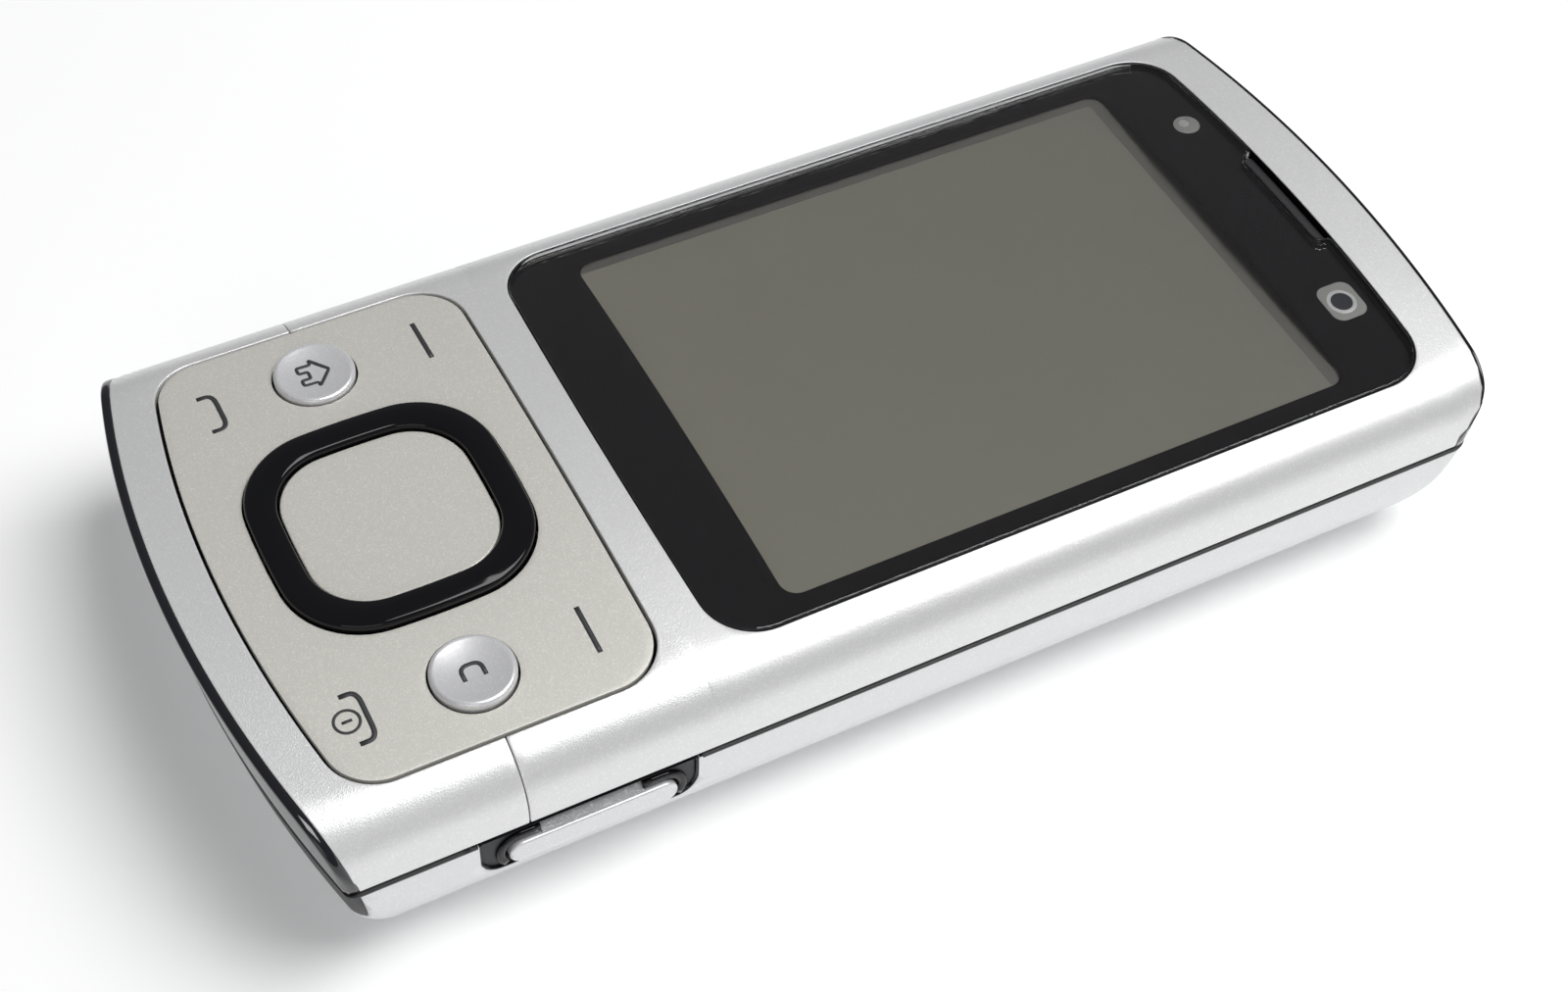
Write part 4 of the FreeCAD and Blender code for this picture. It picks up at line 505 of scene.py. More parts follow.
tile = rounded(1.75, 38.95, None, 0.9, 41.95, None, 0.9, ends=8, sides=8, corner=4) + [10.7, 0]
piece("front_camera_tile", *moulding(tile, 16, 16, under_glass(0.02), 14.0, 0.01),
      camera_tile, "slider", slot="lens_black")
piece("front_camera_rim", *moulding(round_loop(10.75, 40.4, 1.15), 12, 12, under_glass(0.035),
                                    14.0, 0.01), lens_rim, "slider", slot="lens_black")
piece("front_camera_lens", *moulding(round_loop(10.75, 40.4, 0.85), 12, 12, under_glass(0.05),
                                     14.0, 0.01), lens_black, "slider", slot="lens_black")
piece("light_sensor_face", *moulding(round_loop(-10.7, 40.65, 1.05), 12, 12, under_glass(0.02),
                                     14.0, 0.01), camera_tile, "slider", slot="clear_lens")
piece("light_sensor_dot", *moulding(round_loop(-10.95, 40.55, 0.42), 12, 12, under_glass(0.035),
                                    14.0, 0.01), lens_rim, "slider", slot="clear_lens")

lcd_frame = new_material("display_rim", (0.036, 0.034, 0.030), 0.4)
lcd = new_material("display_face", (0.125, 0.118, 0.100), 0.30)
# The face's colour is a painted reflection: it runs from lighter at the lower end to darker towards the upper
# end, standing in for the room's light mirrored in the dark screen.
tree = lcd.node_tree
place = tree.nodes.new("ShaderNodeTexCoord")
slope = tree.nodes.new("ShaderNodeSeparateXYZ")
painted_reflection_ramp = tree.nodes.new("ShaderNodeMapRange")
mix = tree.nodes.new("ShaderNodeMix")
mix.data_type = "RGBA"
tree.links.new(place.outputs["Object"], slope.inputs[0])
tree.links.new(slope.outputs["Y"], painted_reflection_ramp.inputs["Value"])
painted_reflection_ramp.inputs["From Min"].default_value = -0.010
painted_reflection_ramp.inputs["From Max"].default_value = 0.037
tree.links.new(painted_reflection_ramp.outputs[0], mix.inputs["Factor"])
mix.inputs["A"].default_value = (0.086, 0.082, 0.066, 1)
mix.inputs["B"].default_value = (0.070, 0.068, 0.057, 1)
tree.links.new(mix.outputs["Result"], tree.nodes["Principled BSDF"].inputs["Base Color"])
lcd_top = crown(18.2) - GLASS_UNDER - 0.15
rim_loop = rounded(18.2, -11.9, None, 0.8, 37.1, None, 0.8, ends=8, sides=8)
piece("display_surround", *moulding(rim_loop, 20, 20, level(lcd_top - 0.04), lcd_top - 1.6, 0.05),
      lcd_frame, "slider", ["display_module"], "display_panel")
face_loop = rounded(16.9, -10.2, None, 0.3, 35.15, None, 0.3, ends=8, sides=8) + [0.5, 0]
piece("display_face", *moulding(face_loop, 20, 20, level(lcd_top), lcd_top - 0.8, 0.05), lcd, "slider",
      slot="display_panel")


# ---- Keypad plate, ring and keys ------------------------------------------------------------
# One thin painted metal sheet carries the soft, call and end keys in its corners. A gloss black
# ring rocks round a square select key; two dished round keys stand proud on either side.

def cushion(half, bulge, corner, steps=12):
    """Loop of a square whose four sides bulge alike, from its lower left tip anticlockwise."""
    a = half - bulge
    reach = bulge - corner
    d = (a + np.sqrt(2 * reach ** 2 - a ** 2)) / 2
    lean = np.arctan2(d, d - a)
    quarter = np.concatenate([
        swing(d, -d, corner, -np.pi / 4, -lean, steps),
        swing(a, 0, bulge, -lean, lean, 2 * steps),
        swing(d, d, corner, lean, np.pi / 4, steps),
    ])
    turns = [quarter @ np.array([[np.cos(q), np.sin(q)], [-np.sin(q), np.cos(q)]])
             for q in (-np.pi / 2, 0, np.pi / 2, np.pi)]
    return np.concatenate(turns)


PAD = np.array([0.0, SEAM])
ROUND_KEY_X, ROUND_KEY_R, ROUND_HOLE_R = 14.4, 2.9, 3.05
ROUND_KEY_TOP, DISH_R, DISH_DEPTH = crown(ROUND_KEY_X) + 0.5, 2.6, 0.30
RING_HALF, RING_HOLE_HALF, RING_HOLE_GAP, SIDE_BULGE_R = 9.0, 6.9, 0.15, 60.0
PLATE_SUNK, RING_PROUD, RING_EDGE, RING_CROWN = 0.05, 0.65, 0.32, 0.12
plate_metal = grained(new_material("warm_metallic", (0.60, 0.59, 0.545), 0.36, 0.20),
                      Grain_Size=0.075, Grain_Depth=0.5, Cloud=0.03, Flakes=0.24)
key_metal = grained(new_material("key_metal", (0.74, 0.74, 0.75), 0.30, 0.45),
                    Grain_Size=0.08, Grain_Depth=0.25, Cloud=0.03, Flakes=0.15)
ring_gloss = new_material("ring_gloss", (0.004, 0.004, 0.005), 0.07, Specular_IOR_Level=0.3)
mark_paint = new_material("mark_paint", (0.035, 0.036, 0.038), 0.5)

plate_loop = rounded(**PLATE, ends=48, sides=24, waist=SEAM)


def hole_patch(hole, border, rows=14):
    """Grid from a hole's loop to the border round it, by straight rays."""
    t = np.linspace(0, 1, rows)[:, None, None]
    flat = hole * (1 - t) + border * t
    return np.concatenate([flat, crown(flat[..., 0])[..., None] - PLATE_SUNK], -1)


def plate_edge(x, sign):
    """The plate's lower or upper edge at x, its corner arcs included."""
    side = plate_loop[(plate_loop[:, 1] > SEAM) == (sign > 0)]
    order = np.argsort(side[:, 0])
    return np.interp(x, side[order, 0], side[order, 1])


split = 11.0
centre_hole = cushion(RING_HALF + RING_HOLE_GAP, SIDE_BULGE_R, 6.05, 6) + PAD
count = len(centre_hole) // 4
across = np.linspace(-split, split, count + 1)
up_low = np.linspace(plate_edge(-split, -1), plate_edge(-split, 1), count + 1)
centre_border = np.concatenate([
    np.stack([across, plate_edge(across, -1)], -1)[:-1],
    np.stack([np.full(count + 1, split), up_low], -1)[:-1],
    np.stack([across, plate_edge(across, 1)], -1)[:0:-1],
    np.stack([np.full(count + 1, -split), up_low], -1)[:0:-1],
])
patches = [hole_patch(centre_hole, centre_border)]
right_run = plate_loop[plate_loop[:, 0] > split + 0.01]
right_run = right_run[np.argsort(np.arctan2(right_run[:, 1] - PAD[1], right_run[:, 0] - split))]
side_border = np.concatenate([[[split, plate_edge(split, -1)]], right_run, [[split, plate_edge(split, 1)]]])
inner_side = np.stack([np.full(count + 1, split), up_low], -1)[::-1][1:-1]
side_border = np.concatenate([side_border, inner_side])
angle = np.unwrap(np.arctan2(side_border[:, 1] - PAD[1], side_border[:, 0] - ROUND_KEY_X))
round_hole = np.stack([ROUND_KEY_X + ROUND_HOLE_R * np.cos(angle), PAD[1] + ROUND_HOLE_R * np.sin(angle)], -1)
right_patch = hole_patch(round_hole, side_border)
left_patch = right_patch[:, ::-1] * [-1, 1, 1]
patches += [right_patch, left_patch]
plate_points, plate_quads, start = [], [], 0
for patch in patches:
    plate_points.append(patch.reshape(-1, 3))
    plate_quads.append(grid_quads(*patch.shape[:2], ring=True, start=start))
    start += patch.size // 3
plate = piece("keypad_sheet", np.concatenate(plate_points), np.concatenate(plate_quads), plate_metal,
              "keypad_plate", ["keypad_plate"], "warm_metallic", flip=True)
edged_sheet(plate, 0.5, 0.09)

outer = cushion(RING_HALF, SIDE_BULGE_R, 6.0)
inner = cushion(RING_HOLE_HALF, SIDE_BULGE_R, 4.5)
base, top = crown(9.4) - 1.2, CREST - PLATE_SUNK + RING_PROUD
ring_width = RING_HALF - RING_HOLE_HALF
turns = [(RING_EDGE * (1 - np.cos(a)) / ring_width, top - RING_CROWN - RING_EDGE * (1 - np.sin(a)))
         for a in np.linspace(0, np.pi / 2, 6)]
profile = [(0.0, base), *turns]
profile += [(t, top - RING_CROWN * (2 * t - 1) ** 2) for t in (0.3, 0.4, 0.5, 0.6, 0.7)]
profile += [(1 - t, z) for t, z in turns[::-1]]
profile += [(1.0, base), (0.0, base)]
ring_rows = np.stack([np.column_stack([inner * (1 - t) + outer * t + PAD, np.full(len(inner), z)])
                      for t, z in profile])
piece("navigation_ring", ring_rows, grid_quads(len(profile), len(inner), ring=True), ring_gloss, "nav_ring",
      ["nav_ring"], "black_gloss", flip=True)

select_loop = cushion(RING_HOLE_HALF - RING_HOLE_GAP, SIDE_BULGE_R, 4.35) + PAD
steps = len(select_loop) // 4
piece("select_cap", *moulding(select_loop, steps, steps, level(CREST - PLATE_SUNK), CREST - 1.4, 0.12),
      plate_metal, "select_key", ["select_key"], "warm_metallic")


def on_key(x, y):
    """Top of the two round keys: a shallow dish, deepest in the middle, none at the rim."""
    away = np.hypot(np.abs(x) - ROUND_KEY_X, y - PAD[1]) / DISH_R
    return ROUND_KEY_TOP - DISH_DEPTH * np.clip(1 - away ** 2, 0, 1)


for name, node, x in (("home_cap", "home_key", -ROUND_KEY_X), ("clear_cap", "clear_key", ROUND_KEY_X)):
    piece(name, *moulding(round_loop(x, PAD[1], ROUND_KEY_R, 96), 24, 24, on_key, ROUND_KEY_TOP - 1.7, 0.3),
          key_metal, node, [node], "key_metal")


def bent(corners, r, closed=False):
    """Path through the corners with each turned into an arc of about r: a quadratic curve
    between the points that lie r before and r after the corner."""
    corners = np.asarray(corners, float)
    count = len(corners)
    path = []
    for k in range(count) if closed else range(1, count - 1):
        here, before, after = corners[k], corners[k - 1], corners[(k + 1) % count]
        a = here + (before - here) * min(r / np.linalg.norm(before - here), 0.5)
        b = here + (after - here) * min(r / np.linalg.norm(after - here), 0.5)
        t = np.linspace(0, 1, 7)[:, None]
        path.append((1 - t) ** 2 * a + 2 * t * (1 - t) * here + t ** 2 * b)
    path = np.concatenate(path)
    return path if closed else np.concatenate([corners[:1], path, corners[-1:]])


def printed(name, path, width, surface, body, closed=False):
    """Printed stroke: a ribbon of the given width along a path, 0.02 mm proud of surface(x, y).
    Its edges lie half a width to each side, square to the direction of the path."""
    if closed:
        along = np.roll(path, -1, axis=0) - np.roll(path, 1, axis=0)
    else:
        along = np.gradient(path, axis=0)
    side = np.stack([-along[:, 1], along[:, 0]], -1) * width / 2
    side /= np.linalg.norm(along, axis=1, keepdims=True)
    edges = [path - side, path, path + side]
    rows = np.stack([np.column_stack([e, surface(e[:, 0], e[:, 1]) + 0.02]) for e in edges])
    obj = piece(name, rows, grid_quads(3, len(path), ring=closed), mark_paint, body, slot="black_satin")
    ink = obj.modifiers.new("ink", "SOLIDIFY")
    ink.thickness = 0.00004
    ink.offset = -1
    return obj


def on_plate(x, y):
    """Height of the plate's face."""
    return crown(x) - PLATE_SUNK


STROKE, ARCH_R = 0.36, 0.95
for name, x in (("left", -ROUND_KEY_X), ("right", ROUND_KEY_X)):
    bar = np.stack([np.linspace(x - 1.95, x + 1.95, 9), np.full(9, -23.05)], -1)
    printed("soft_key_bar_" + name, bar, STROKE, on_plate, "keypad_plate")
for name, low_x, high_x, foot, crest in (("call_arch", -15.85, -12.35, -39.45, -38.3),
                                         ("end_arch", 12.5, 16.3, -39.7, -38.5)):
    arch = bent([(low_x, foot), (low_x, crest), (high_x, crest), (high_x, foot)], ARCH_R)
    printed(name, arch, STROKE, on_plate, "keypad_plate")
printed("power_circle", round_loop(ROUND_KEY_X, -39.85, 0.85), 0.2, on_plate, "keypad_plate", closed=True)
printed("power_bar", np.array([(ROUND_KEY_X, -40.2), (ROUND_KEY_X, -39.5)]), 0.22, on_plate, "keypad_plate")
house = np.array([(-0.85, -1.0), (-0.32, -1.0), (-0.32, -0.35), (0.32, -0.35), (0.32, -1.0), (0.85, -1.0),
                  (0.85, 0.0), (1.25, 0.0), (0.0, 1.05), (-1.25, 0.0), (-0.85, 0.0)])
house = house * 1.05 + [-ROUND_KEY_X, SEAM]
printed("home_sign", bent(house, 0.16, closed=True), 0.24, on_key, "home_key", closed=True)
printed("clear_letter", bent([(15.0, -30.5), (13.8, -30.5), (13.8, -31.95), (15.0, -31.95)], 0.65), 0.30,
        on_key, "clear_key")


# ---- Numeric keys and their surround ----------------------------------------------------------
# Twelve moulded keys in a satin black panel on the body; the slider hides them while it is shut.
# Each carries its printed digit.

def smooth_copy(node, material, sharp=0.5):
    """A copy of a CAD node with its loose triangles joined: smooth over each face, sharp at the
    edges. It stands for the node."""
    mesh = frame["nodes"][node].data.copy()
    bm = bmesh.new()
    bm.from_mesh(mesh)
    bmesh.ops.remove_doubles(bm, verts=bm.verts, dist=1e-7)
    bm.to_mesh(mesh)
    bm.free()
    mesh.shade_smooth()
    mesh.set_sharp_from_angle(angle=sharp)
    mesh.materials.clear()
    mesh.materials.append(material)
    obj = bpy.data.objects.new(node + "_finish", mesh)
    scene.collection.objects.link(obj)
    obj.modifiers.new("broad_faces", "WEIGHTED_NORMAL").keep_sharp = True
    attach(obj, body_of[node])
    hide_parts(node)
    return obj


body_of = {node: body for body, nodes in frame["record"]["behaviour"]["bodies"].items() for node in nodes}
panel_black = grained(new_material("panel_black", (0.012, 0.012, 0.014), 0.42),
                      Grain_Size=0.15, Grain_Depth=0.2)
key_black = grained(new_material("numeric_key_paint", (0.028, 0.028, 0.031), 0.33), Grain_Size=0.12,
                    Grain_Depth=0.15, Flakes=0.3)
digit_paint = new_material("digit_paint", (0.72, 0.73, 0.74), 0.5)
smooth_copy("keypad_bezel", panel_black)
COLUMN_PITCH, ROW_PITCH, LOWEST_ROW = 0.0136, 0.0062, -0.0409
DIGIT_SIZE, STAR_SIZE, PRINT_T = 0.0034, 0.0048, 0.00001
for place, name in enumerate(("star", "0", "hash", "7", "8", "9", "4", "5", "6", "1", "2", "3")):
    node, sign = "key_" + name, {"star": "*", "hash": "#"}.get(name, name)
    smooth_copy(node, key_black)
    _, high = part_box(node)
    middle = Vector(((place % 3 - 1) * COLUMN_PITCH, LOWEST_ROW + place // 3 * ROW_PITCH, high[2] + PRINT_T))
    letter = bpy.data.curves.new(node, "FONT")
    letter.body, letter.size = sign, STAR_SIZE if sign == "*" else DIGIT_SIZE
    letter.align_x = letter.align_y = "CENTER"
    letter.extrude = PRINT_T
    drawn = bpy.data.objects.new(node, letter)
    shape = bpy.data.meshes.new_from_object(drawn)
    bpy.data.objects.remove(drawn)
    shape.transform(Matrix.Translation(middle))
    shape.materials.clear()
    shape.materials.append(digit_paint)
    digit = bpy.data.objects.new("digit_" + name, shape)
    scene.collection.objects.link(digit)
    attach(digit, body_of[node])


# ---- Body shell, battery cover and charging door ----------------------------------------------
# The body is bead-blasted metal, split along its flanks from the sliding battery cover; a painted
# rubber door closes the connector on the left side.

body_metal = grained(new_material("body_aluminium", (0.77, 0.78, 0.785), 0.36, 0.40),
                     Grain_Size=0.10, Grain_Depth=0.55, Cloud=0.03, Flakes=0.12)
door_rubber = grained(new_material("door_rubber", (0.55, 0.56, 0.57), 0.55), Grain_Size=0.2, Grain_Depth=0.3)
for node in ("chassis", "battery_cover"):
    smooth_copy(node, body_metal)
smooth_copy("usb_door", door_rubber)

# A black liner closes the slide gap all round and stands back behind the camera key's recess. Its deck is the
# body's own black top under the slider. Its strip over the top 0.2 mm of the body's metal side is painted
# shade, which widens the dark line of the gap.
GAP_MID, RECESS_Y, RECESS_HALF, RECESS_DEPTH = 9.5, -26.95, 7.9, 1.6
deck_and_shade_band = []
# The first two rows are that painted shade: a black strip laid on the body's metal side just under the gap.
for inward, height in ((-0.01, 9.22), (-0.01, 9.42), (0.03, 9.46), (1.3, 9.46), (1.38, 9.36)):
    lean = END_LEAN * (CREST - GAP_MID) + inward
    loop = rounded(HALF_W - inward, -HALF_L + lean, ENDS[-1][0], ENDS[-1][1],
                   HALF_L - lean, ENDS[1][0], ENDS[1][1] - inward, ends=32, sides=360, corner=8)
    deck_and_shade_band.append(np.column_stack([loop, np.full(len(loop), height)]))
deck_and_shade_band = np.stack(deck_and_shade_band + deck_and_shade_band[:1])
recessed = (deck_and_shade_band[..., 0] > 20) & (np.abs(deck_and_shade_band[..., 1] - RECESS_Y) < RECESS_HALF)
deck_and_shade_band[..., 0] = np.where(recessed, deck_and_shade_band[..., 0] - RECESS_DEPTH, deck_and_shade_band[..., 0])
piece("gap_deck_and_shade_band", deck_and_shade_band, grid_quads(len(deck_and_shade_band), deck_and_shade_band.shape[1], ring=True), panel_black, "body",
      slot="black_satin")


# ---- Camera key and its surround ---------------------------------------------------------------
# A pill-shaped metal shutter key sits in a dark moulded recess. Polished hooks grip its two ends.

KEY_Y, KEY_Z, KEY_HALF, KEY_R = -26.8, 7.2, 6.05, 1.0
KEY_CLEARANCE, HOOK_HALF, HOOK_EDGE, SCOOP_HALF = 0.15, 0.33, 0.2, 3.95
recess_grey = grained(new_material("recess_grey", (0.016, 0.017, 0.020), 0.38, Specular_IOR_Level=0.3),
                      Grain_Size=0.15, Grain_Depth=0.15)
hook_gloss = new_material("hook_gloss", (0.002, 0.002, 0.003), 0.06, Specular_IOR_Level=0.3)


def plate_face(y, z):
    """Front of the surround: flush with the body, and scooped out in a slope above the key
    between the hooks, deeper the higher it goes."""
    scoop = np.clip((SCOOP_HALF - np.abs(y - KEY_Y)) / 0.15, 0, 1)
    return HALF_W - 0.25 - scoop * np.clip((z - 8.05) / 0.5, 0, 1) ** 0.5 * 1.5


def pierced(hole, border, face, low, edge, rows=9):
    """Closed plate between a hole's loop and its border: its profile runs up the hole's wall,
    over an edge of radius edge, along rays to the border, over its edge and down behind."""
    turn = np.linspace(0, np.pi / 2, 4)
    flat = [hole, *[inset(hole, -edge * (1 - np.cos(a))) for a in turn]]
    drop = [None, *[edge * (1 - np.sin(a)) for a in turn]]
    near, far = flat[-1], inset(border, edge)
    flat += [near + (far - near) * t for t in np.linspace(0, 1, rows)[1:-1]]
    drop += [0.0] * (rows - 2)
    flat += [inset(border, edge * (1 - np.cos(a))) for a in turn[::-1]]
    drop += [edge * (1 - np.sin(a)) for a in turn[::-1]]
    flat += [border, hole]
    drop += [None, None]
    return np.stack([np.column_stack([np.full(len(f), low) if d is None else face(f[:, 0], f[:, 1]) - d, f])
                     for f, d in zip(flat, drop)])


def pill(clearance, ends, corner):
    """Loop of the key's outline, moved outwards by clearance: half circles at both ends."""
    r = KEY_R + clearance
    return rounded(KEY_HALF + clearance, KEY_Z - r, None, r - 0.001, KEY_Z + r, None, r - 0.001,
                   ends=ends, sides=2, corner=corner) + [KEY_Y, 0]


key_hole = pill(KEY_CLEARANCE, 80, 8)
surround = rounded(7.7, 5.93, None, 1.4, 9.33, None, 0.2, ends=80, sides=2, corner=8) + [RECESS_Y, 0]
tray = pierced(key_hole, surround, plate_face, HALF_W - 1.9, 0.08)
piece("key_surround", tray, grid_quads(len(tray), tray.shape[1], ring=True), recess_grey, "body",
      ["camera_key_bezel"], "black_gloss")
around = inset(surround, -0.13)
seal = np.stack([np.column_stack([np.full(len(loop), x), loop]) for loop, x in (
    (surround, HALF_W - 1.9), (surround, HALF_W - 0.10), (around, HALF_W - 0.06), (around, HALF_W - 1.9),
    (surround, HALF_W - 1.9))])
piece("key_surround_seal", seal, grid_quads(len(seal), seal.shape[1], ring=True), hook_gloss, "body",
      slot="black_gloss")

for name, sign in (("lower", -1), ("upper", 1)):
    turn = np.linspace(-0.68, np.pi / 2, 15)
    hook_r = KEY_R + KEY_CLEARANCE + HOOK_HALF + 0.04
    centre = np.array([KEY_Y + sign * (KEY_HALF - KEY_R), KEY_Z])
    outward = np.stack([sign * np.cos(turn), np.sin(turn)], -1)
    line = np.concatenate([outward * hook_r, [[-sign * 0.7, hook_r], [-sign * 1.35, hook_r]]]) + centre
    away = np.concatenate([outward, [[0, 1], [0, 1]]])
    top, foot = HALF_W + 0.02, HALF_W - 0.8
    rise = [(-HOOK_HALF + HOOK_EDGE * (1 - np.cos(q)), top - HOOK_EDGE * (1 - np.sin(q)))
            for q in np.linspace(0, np.pi / 2, 5)]
    fall = [(-w, x) for w, x in rise[::-1]]
    section = [(-HOOK_HALF, foot), *rise, *fall, (HOOK_HALF, foot), (-HOOK_HALF, foot)]
    hook = np.stack([np.column_stack([np.full(len(line), x), line + away * w]) for w, x in section])
    piece("key_hook_" + name, hook, grid_quads(len(section), len(line)), hook_gloss, "body",
          slot="black_gloss", fill_ends=True)
cap, cap_quads = moulding(pill(0, 48, 10), 68, 22, level(HALF_W + 0.3), HALF_W - 1.35, 0.18)
piece("camera_key_cap", cap[:, [2, 0, 1]], cap_quads, key_metal, "camera_key", ["camera_key"], "key_metal")
shelf_grit = grained(new_material("shelf_grit", (0.42, 0.43, 0.44), 0.35, 0.4),
                     Grain_Size=0.16, Grain_Depth=1.0, Cloud=0.05, Flakes=0.35)
along = np.linspace(-3.65, 3.65, 25) + KEY_Y
wedge = [(HALF_W + 0.16, KEY_Z + 0.80), (HALF_W + 0.14, KEY_Z + 1.0), (HALF_W - 0.62, KEY_Z + 1.62),
         (HALF_W - 0.72, KEY_Z + 1.60), (HALF_W - 0.72, KEY_Z + 0.80), (HALF_W + 0.16, KEY_Z + 0.80)]
shelf = np.stack([np.column_stack([np.full(len(along), x), along, np.full(len(along), z)]) for x, z in wedge])
shelf = piece("camera_key_shelf", shelf, grid_quads(len(wedge), len(along)), shelf_grit, "camera_key",
              slot="key_metal", fill_ends=True)
shelf.data.set_sharp_from_angle(angle=0.5)


# ---- Slide mechanism ---------------------------------------------------------------------------
# A black painted steel base plate on the body carries folded rails; nylon runners on the slider's
# carriage glide in them, and a wire spring throws the slider open or shut past its middle.

def finish(material, *nodes):
    """Gives CAD nodes, which keep their own mesh, a better material."""
    for node in nodes:
        for place in frame["nodes"][node].material_slots:
            place.material = material


black_steel = grained(new_material("black_steel", (0.020, 0.020, 0.022), 0.45, 0.3),
                      Grain_Size=0.2, Grain_Depth=0.3, Cloud=0.08)
bright_steel = grained(new_material("bright_steel", (0.56, 0.56, 0.57), 0.3, 1.0),
                       Grain_Size=0.12, Grain_Depth=0.3, Cloud=0.06, Stretch=(0.08, 1.0, 1.0))
wire_steel = grained(new_material("wire_steel", (0.50, 0.50, 0.51), 0.25, 1.0),
                     Grain_Size=0.1, Grain_Depth=0.15)
nylon = grained(new_material("nylon", (0.78, 0.77, 0.72), 0.45, Subsurface_Weight=0.1),
                Grain_Size=0.3, Grain_Depth=0.1)
screw_zinc = grained(new_material("screw_zinc", (0.62, 0.62, 0.64), 0.25, 1.0),
                     Grain_Size=0.08, Grain_Depth=0.2)
smooth_copy("slider_back_cover", panel_black)
smooth_copy("slide_base_plate", black_steel)
finish(bright_steel, "slide_carriage")
finish(nylon, "slide_runners")
smooth_copy("slide_spring", wire_steel)
finish(screw_zinc, "slider_screws")
smooth_copy("body_screws", screw_zinc)
film_amber = grained(new_material("flex_film", (0.42, 0.17, 0.03), 0.3, Coat_Weight=0.3),
                     Grain_Size=0.25, Grain_Depth=0.15, Cloud=0.1)
smooth_copy("flex_cable", film_amber)


# ---- Camera, flash and speaker in the back -----------------------------------------------------
# The lens looks out through a coated window; the flash has a ribbed clear lens, and the speaker
# sits behind rows of fine holes.

camera_pane = new_material("camera_pane", (0.02, 0.02, 0.025), 0.04, Coat_Weight=1.0, Coat_Roughness=0.02)
flash_lens = grained(new_material("flash_lens", (0.80, 0.80, 0.74), 0.12, Coat_Weight=0.8),
                     Grain_Size=0.5, Grain_Depth=0.6, Stretch=(0.1, 1.0, 1.0))
smooth_copy("camera_window", camera_pane)
smooth_copy("camera_flash", flash_lens)
smooth_copy("lens_barrel", lens_black)
finish(lens_black, "front_camera")
finish(panel_black, "camera_module")
finish(flash_lens, "light_sensor")
finish(speaker_cloth, "earpiece", "loudspeaker")


# ---- Inside the two halves ---------------------------------------------------------------------
# Boards, shields, dome sheets, battery and the small hardware that they carry.

def board_material(name, mask_colour, copper):
    """Solder mask over copper: a brick pattern gives the tracks."""
    material = new_material(name, mask_colour, 0.3, Coat_Weight=0.3)
    tree = material.node_tree
    place = tree.nodes.new("ShaderNodeTexCoord")
    tracks = tree.nodes.new("ShaderNodeTexBrick")
    tracks.inputs["Scale"].default_value = 900.0
    tracks.inputs["Mortar Size"].default_value = 0.03
    tracks.inputs["Color1"].default_value = (*mask_colour, 1)
    tracks.inputs["Color2"].default_value = (*[c * 0.8 for c in mask_colour], 1)
    tracks.inputs["Mortar"].default_value = (*copper, 1)
    tree.links.new(place.outputs["Object"], tracks.inputs["Vector"])
    tree.links.new(tracks.outputs["Color"], tree.nodes["Principled BSDF"].inputs["Base Color"])
    return material


board_green = board_material("board_green", (0.012, 0.075, 0.030), (0.05, 0.16, 0.06))
dark_moulding = grained(new_material("dark_moulding", (0.028, 0.028, 0.031), 0.5),
                        Grain_Size=0.2, Grain_Depth=0.3)
dome_steel = grained(new_material("dome_steel", (0.60, 0.60, 0.60), 0.25, 1.0),
                     Grain_Size=0.1, Grain_Depth=0.2)
tin = grained(new_material("tin_plate", (0.66, 0.66, 0.67), 0.32, 1.0),
              Grain_Size=0.15, Grain_Depth=0.2, Cloud=0.08, Stretch=(1.0, 0.1, 1.0))
silicone = grained(new_material("silicone", (0.50, 0.50, 0.48), 0.5, Subsurface_Weight=0.2),
                   Grain_Size=0.3, Grain_Depth=0.2)
cell_wrap = grained(new_material("battery_wrap", (0.10, 0.11, 0.13), 0.4),
                    Grain_Size=0.3, Grain_Depth=0.15, Cloud=0.1)
gold = grained(new_material("gold_contacts", (0.80, 0.52, 0.16), 0.22, 1.0),
               Grain_Size=0.08, Grain_Depth=0.15)
tungsten = grained(new_material("tungsten", (0.16, 0.16, 0.17), 0.4, 1.0), Grain_Size=0.06, Grain_Depth=0.4)
finish(board_green, "main_board", "ui_board")
finish(dark_moulding, "inner_frame", "antenna_module")
finish(dome_steel, "function_domes", "keypad_domes")
finish(tin, "shield_cans", "card_holder", "usb_socket", "vibration_motor")
finish(silicone, "keypad_web", "nav_ring_pad")
finish(gold, "battery_contacts")
finish(tungsten, "vibration_weight")
smooth_copy("battery", cell_wrap)


# ---- Camera, light and floor ------------------------------------------------------------------
# The phone lies on white paper under a large soft lamp, high over its upper end, and a weak one
# at its near side. The camera's place and focal length follow the photograph's vanishing points.

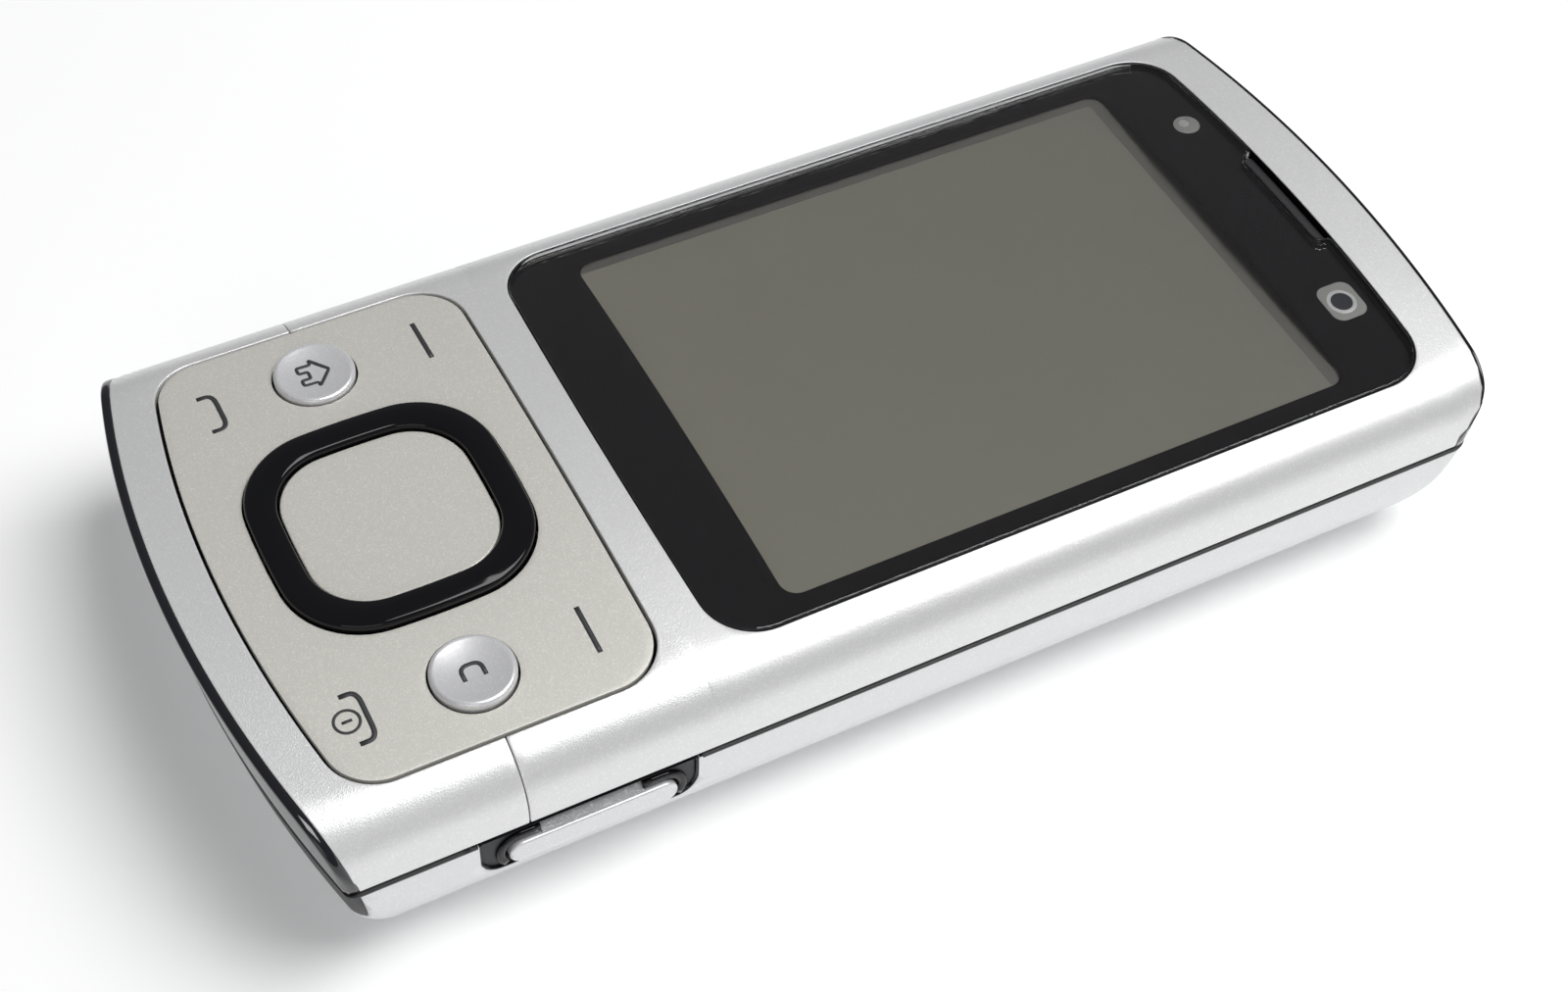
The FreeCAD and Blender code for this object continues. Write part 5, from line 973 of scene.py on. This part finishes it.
FOCAL_PX, PHOTO_WIDTH_PX, SENSOR_MM = 2528.52, 1600, 36
camera = bpy.data.objects.new("camera", bpy.data.cameras.new("camera"))
scene.collection.objects.link(camera)
scene.camera = camera
camera.data.lens = FOCAL_PX * SENSOR_MM / PHOTO_WIDTH_PX
camera.data.clip_start = 0.01
right = (0.460398, 0.886842, 0.039295)
down = (0.693597, -0.331744, -0.639429)
ahead = (-0.554037, 0.321647, -0.767846)
camera.matrix_world = Matrix((
    (right[0], -down[0], -ahead[0], 0.104383),
    (right[1], -down[1], -ahead[1], -0.061080),
    (right[2], -down[2], -ahead[2], 0.146474),
    (0, 0, 0, 1)))

floor_mesh = bpy.data.meshes.new("floor")
floor_mesh.from_pydata([(-3, -3, 0), (3, -3, 0), (3, 3, 0), (-3, 3, 0)], [], [(0, 1, 2, 3)])
floor = bpy.data.objects.new("floor", floor_mesh)
scene.collection.objects.link(floor)
# The paper glows a little to the eye, so that it reads as white, and is clear from underneath.
PAPER_LIFT = 0.14
paper = new_material("white_paper", (0.93, 0.93, 0.93), 0.9)
tree = paper.node_tree
shader = tree.nodes["Principled BSDF"]
seen = tree.nodes.new("ShaderNodeLightPath").outputs
direct = math_node(tree, "MAXIMUM", seen["Is Camera Ray"], seen["Is Glossy Ray"])
through = math_node(tree, "MAXIMUM", direct, seen["Is Transmission Ray"])
tree.links.new(math_node(tree, "MULTIPLY", through, PAPER_LIFT), shader.inputs["Emission Strength"])
shader.inputs["Emission Color"].default_value = (1, 1, 1, 1)
underside = tree.nodes.new("ShaderNodeNewGeometry").outputs["Backfacing"]
tree.links.new(math_node(tree, "SUBTRACT", 1.0, underside), shader.inputs["Alpha"])
floor_mesh.materials.append(paper)

world = bpy.data.worlds.new("studio")
scene.world = world
world.use_nodes = True
world.node_tree.nodes["Background"].inputs["Color"].default_value = (0.97, 0.98, 1.0, 1)
world.node_tree.nodes["Background"].inputs["Strength"].default_value = 0.20


def lamp(name, place, width, height, power):
    """Soft box: an area lamp of that size in metres, aimed from its place at the phone."""
    light = bpy.data.lights.new(name, "AREA")
    light.shape = "RECTANGLE"
    light.size, light.size_y, light.energy = width, height, power
    obj = bpy.data.objects.new(name, light)
    scene.collection.objects.link(obj)
    obj.location = place
    obj.rotation_euler = (-Vector(place)).to_track_quat("-Z", "Y").to_euler()


lamp("key_light", (0.12, 0.26, 0.62), 0.45, 0.45, 4.3)
lamp("side_light", (0.50, -0.30, 0.30), 0.45, 0.30, 0.45)

scene.view_settings.view_transform = "Standard"
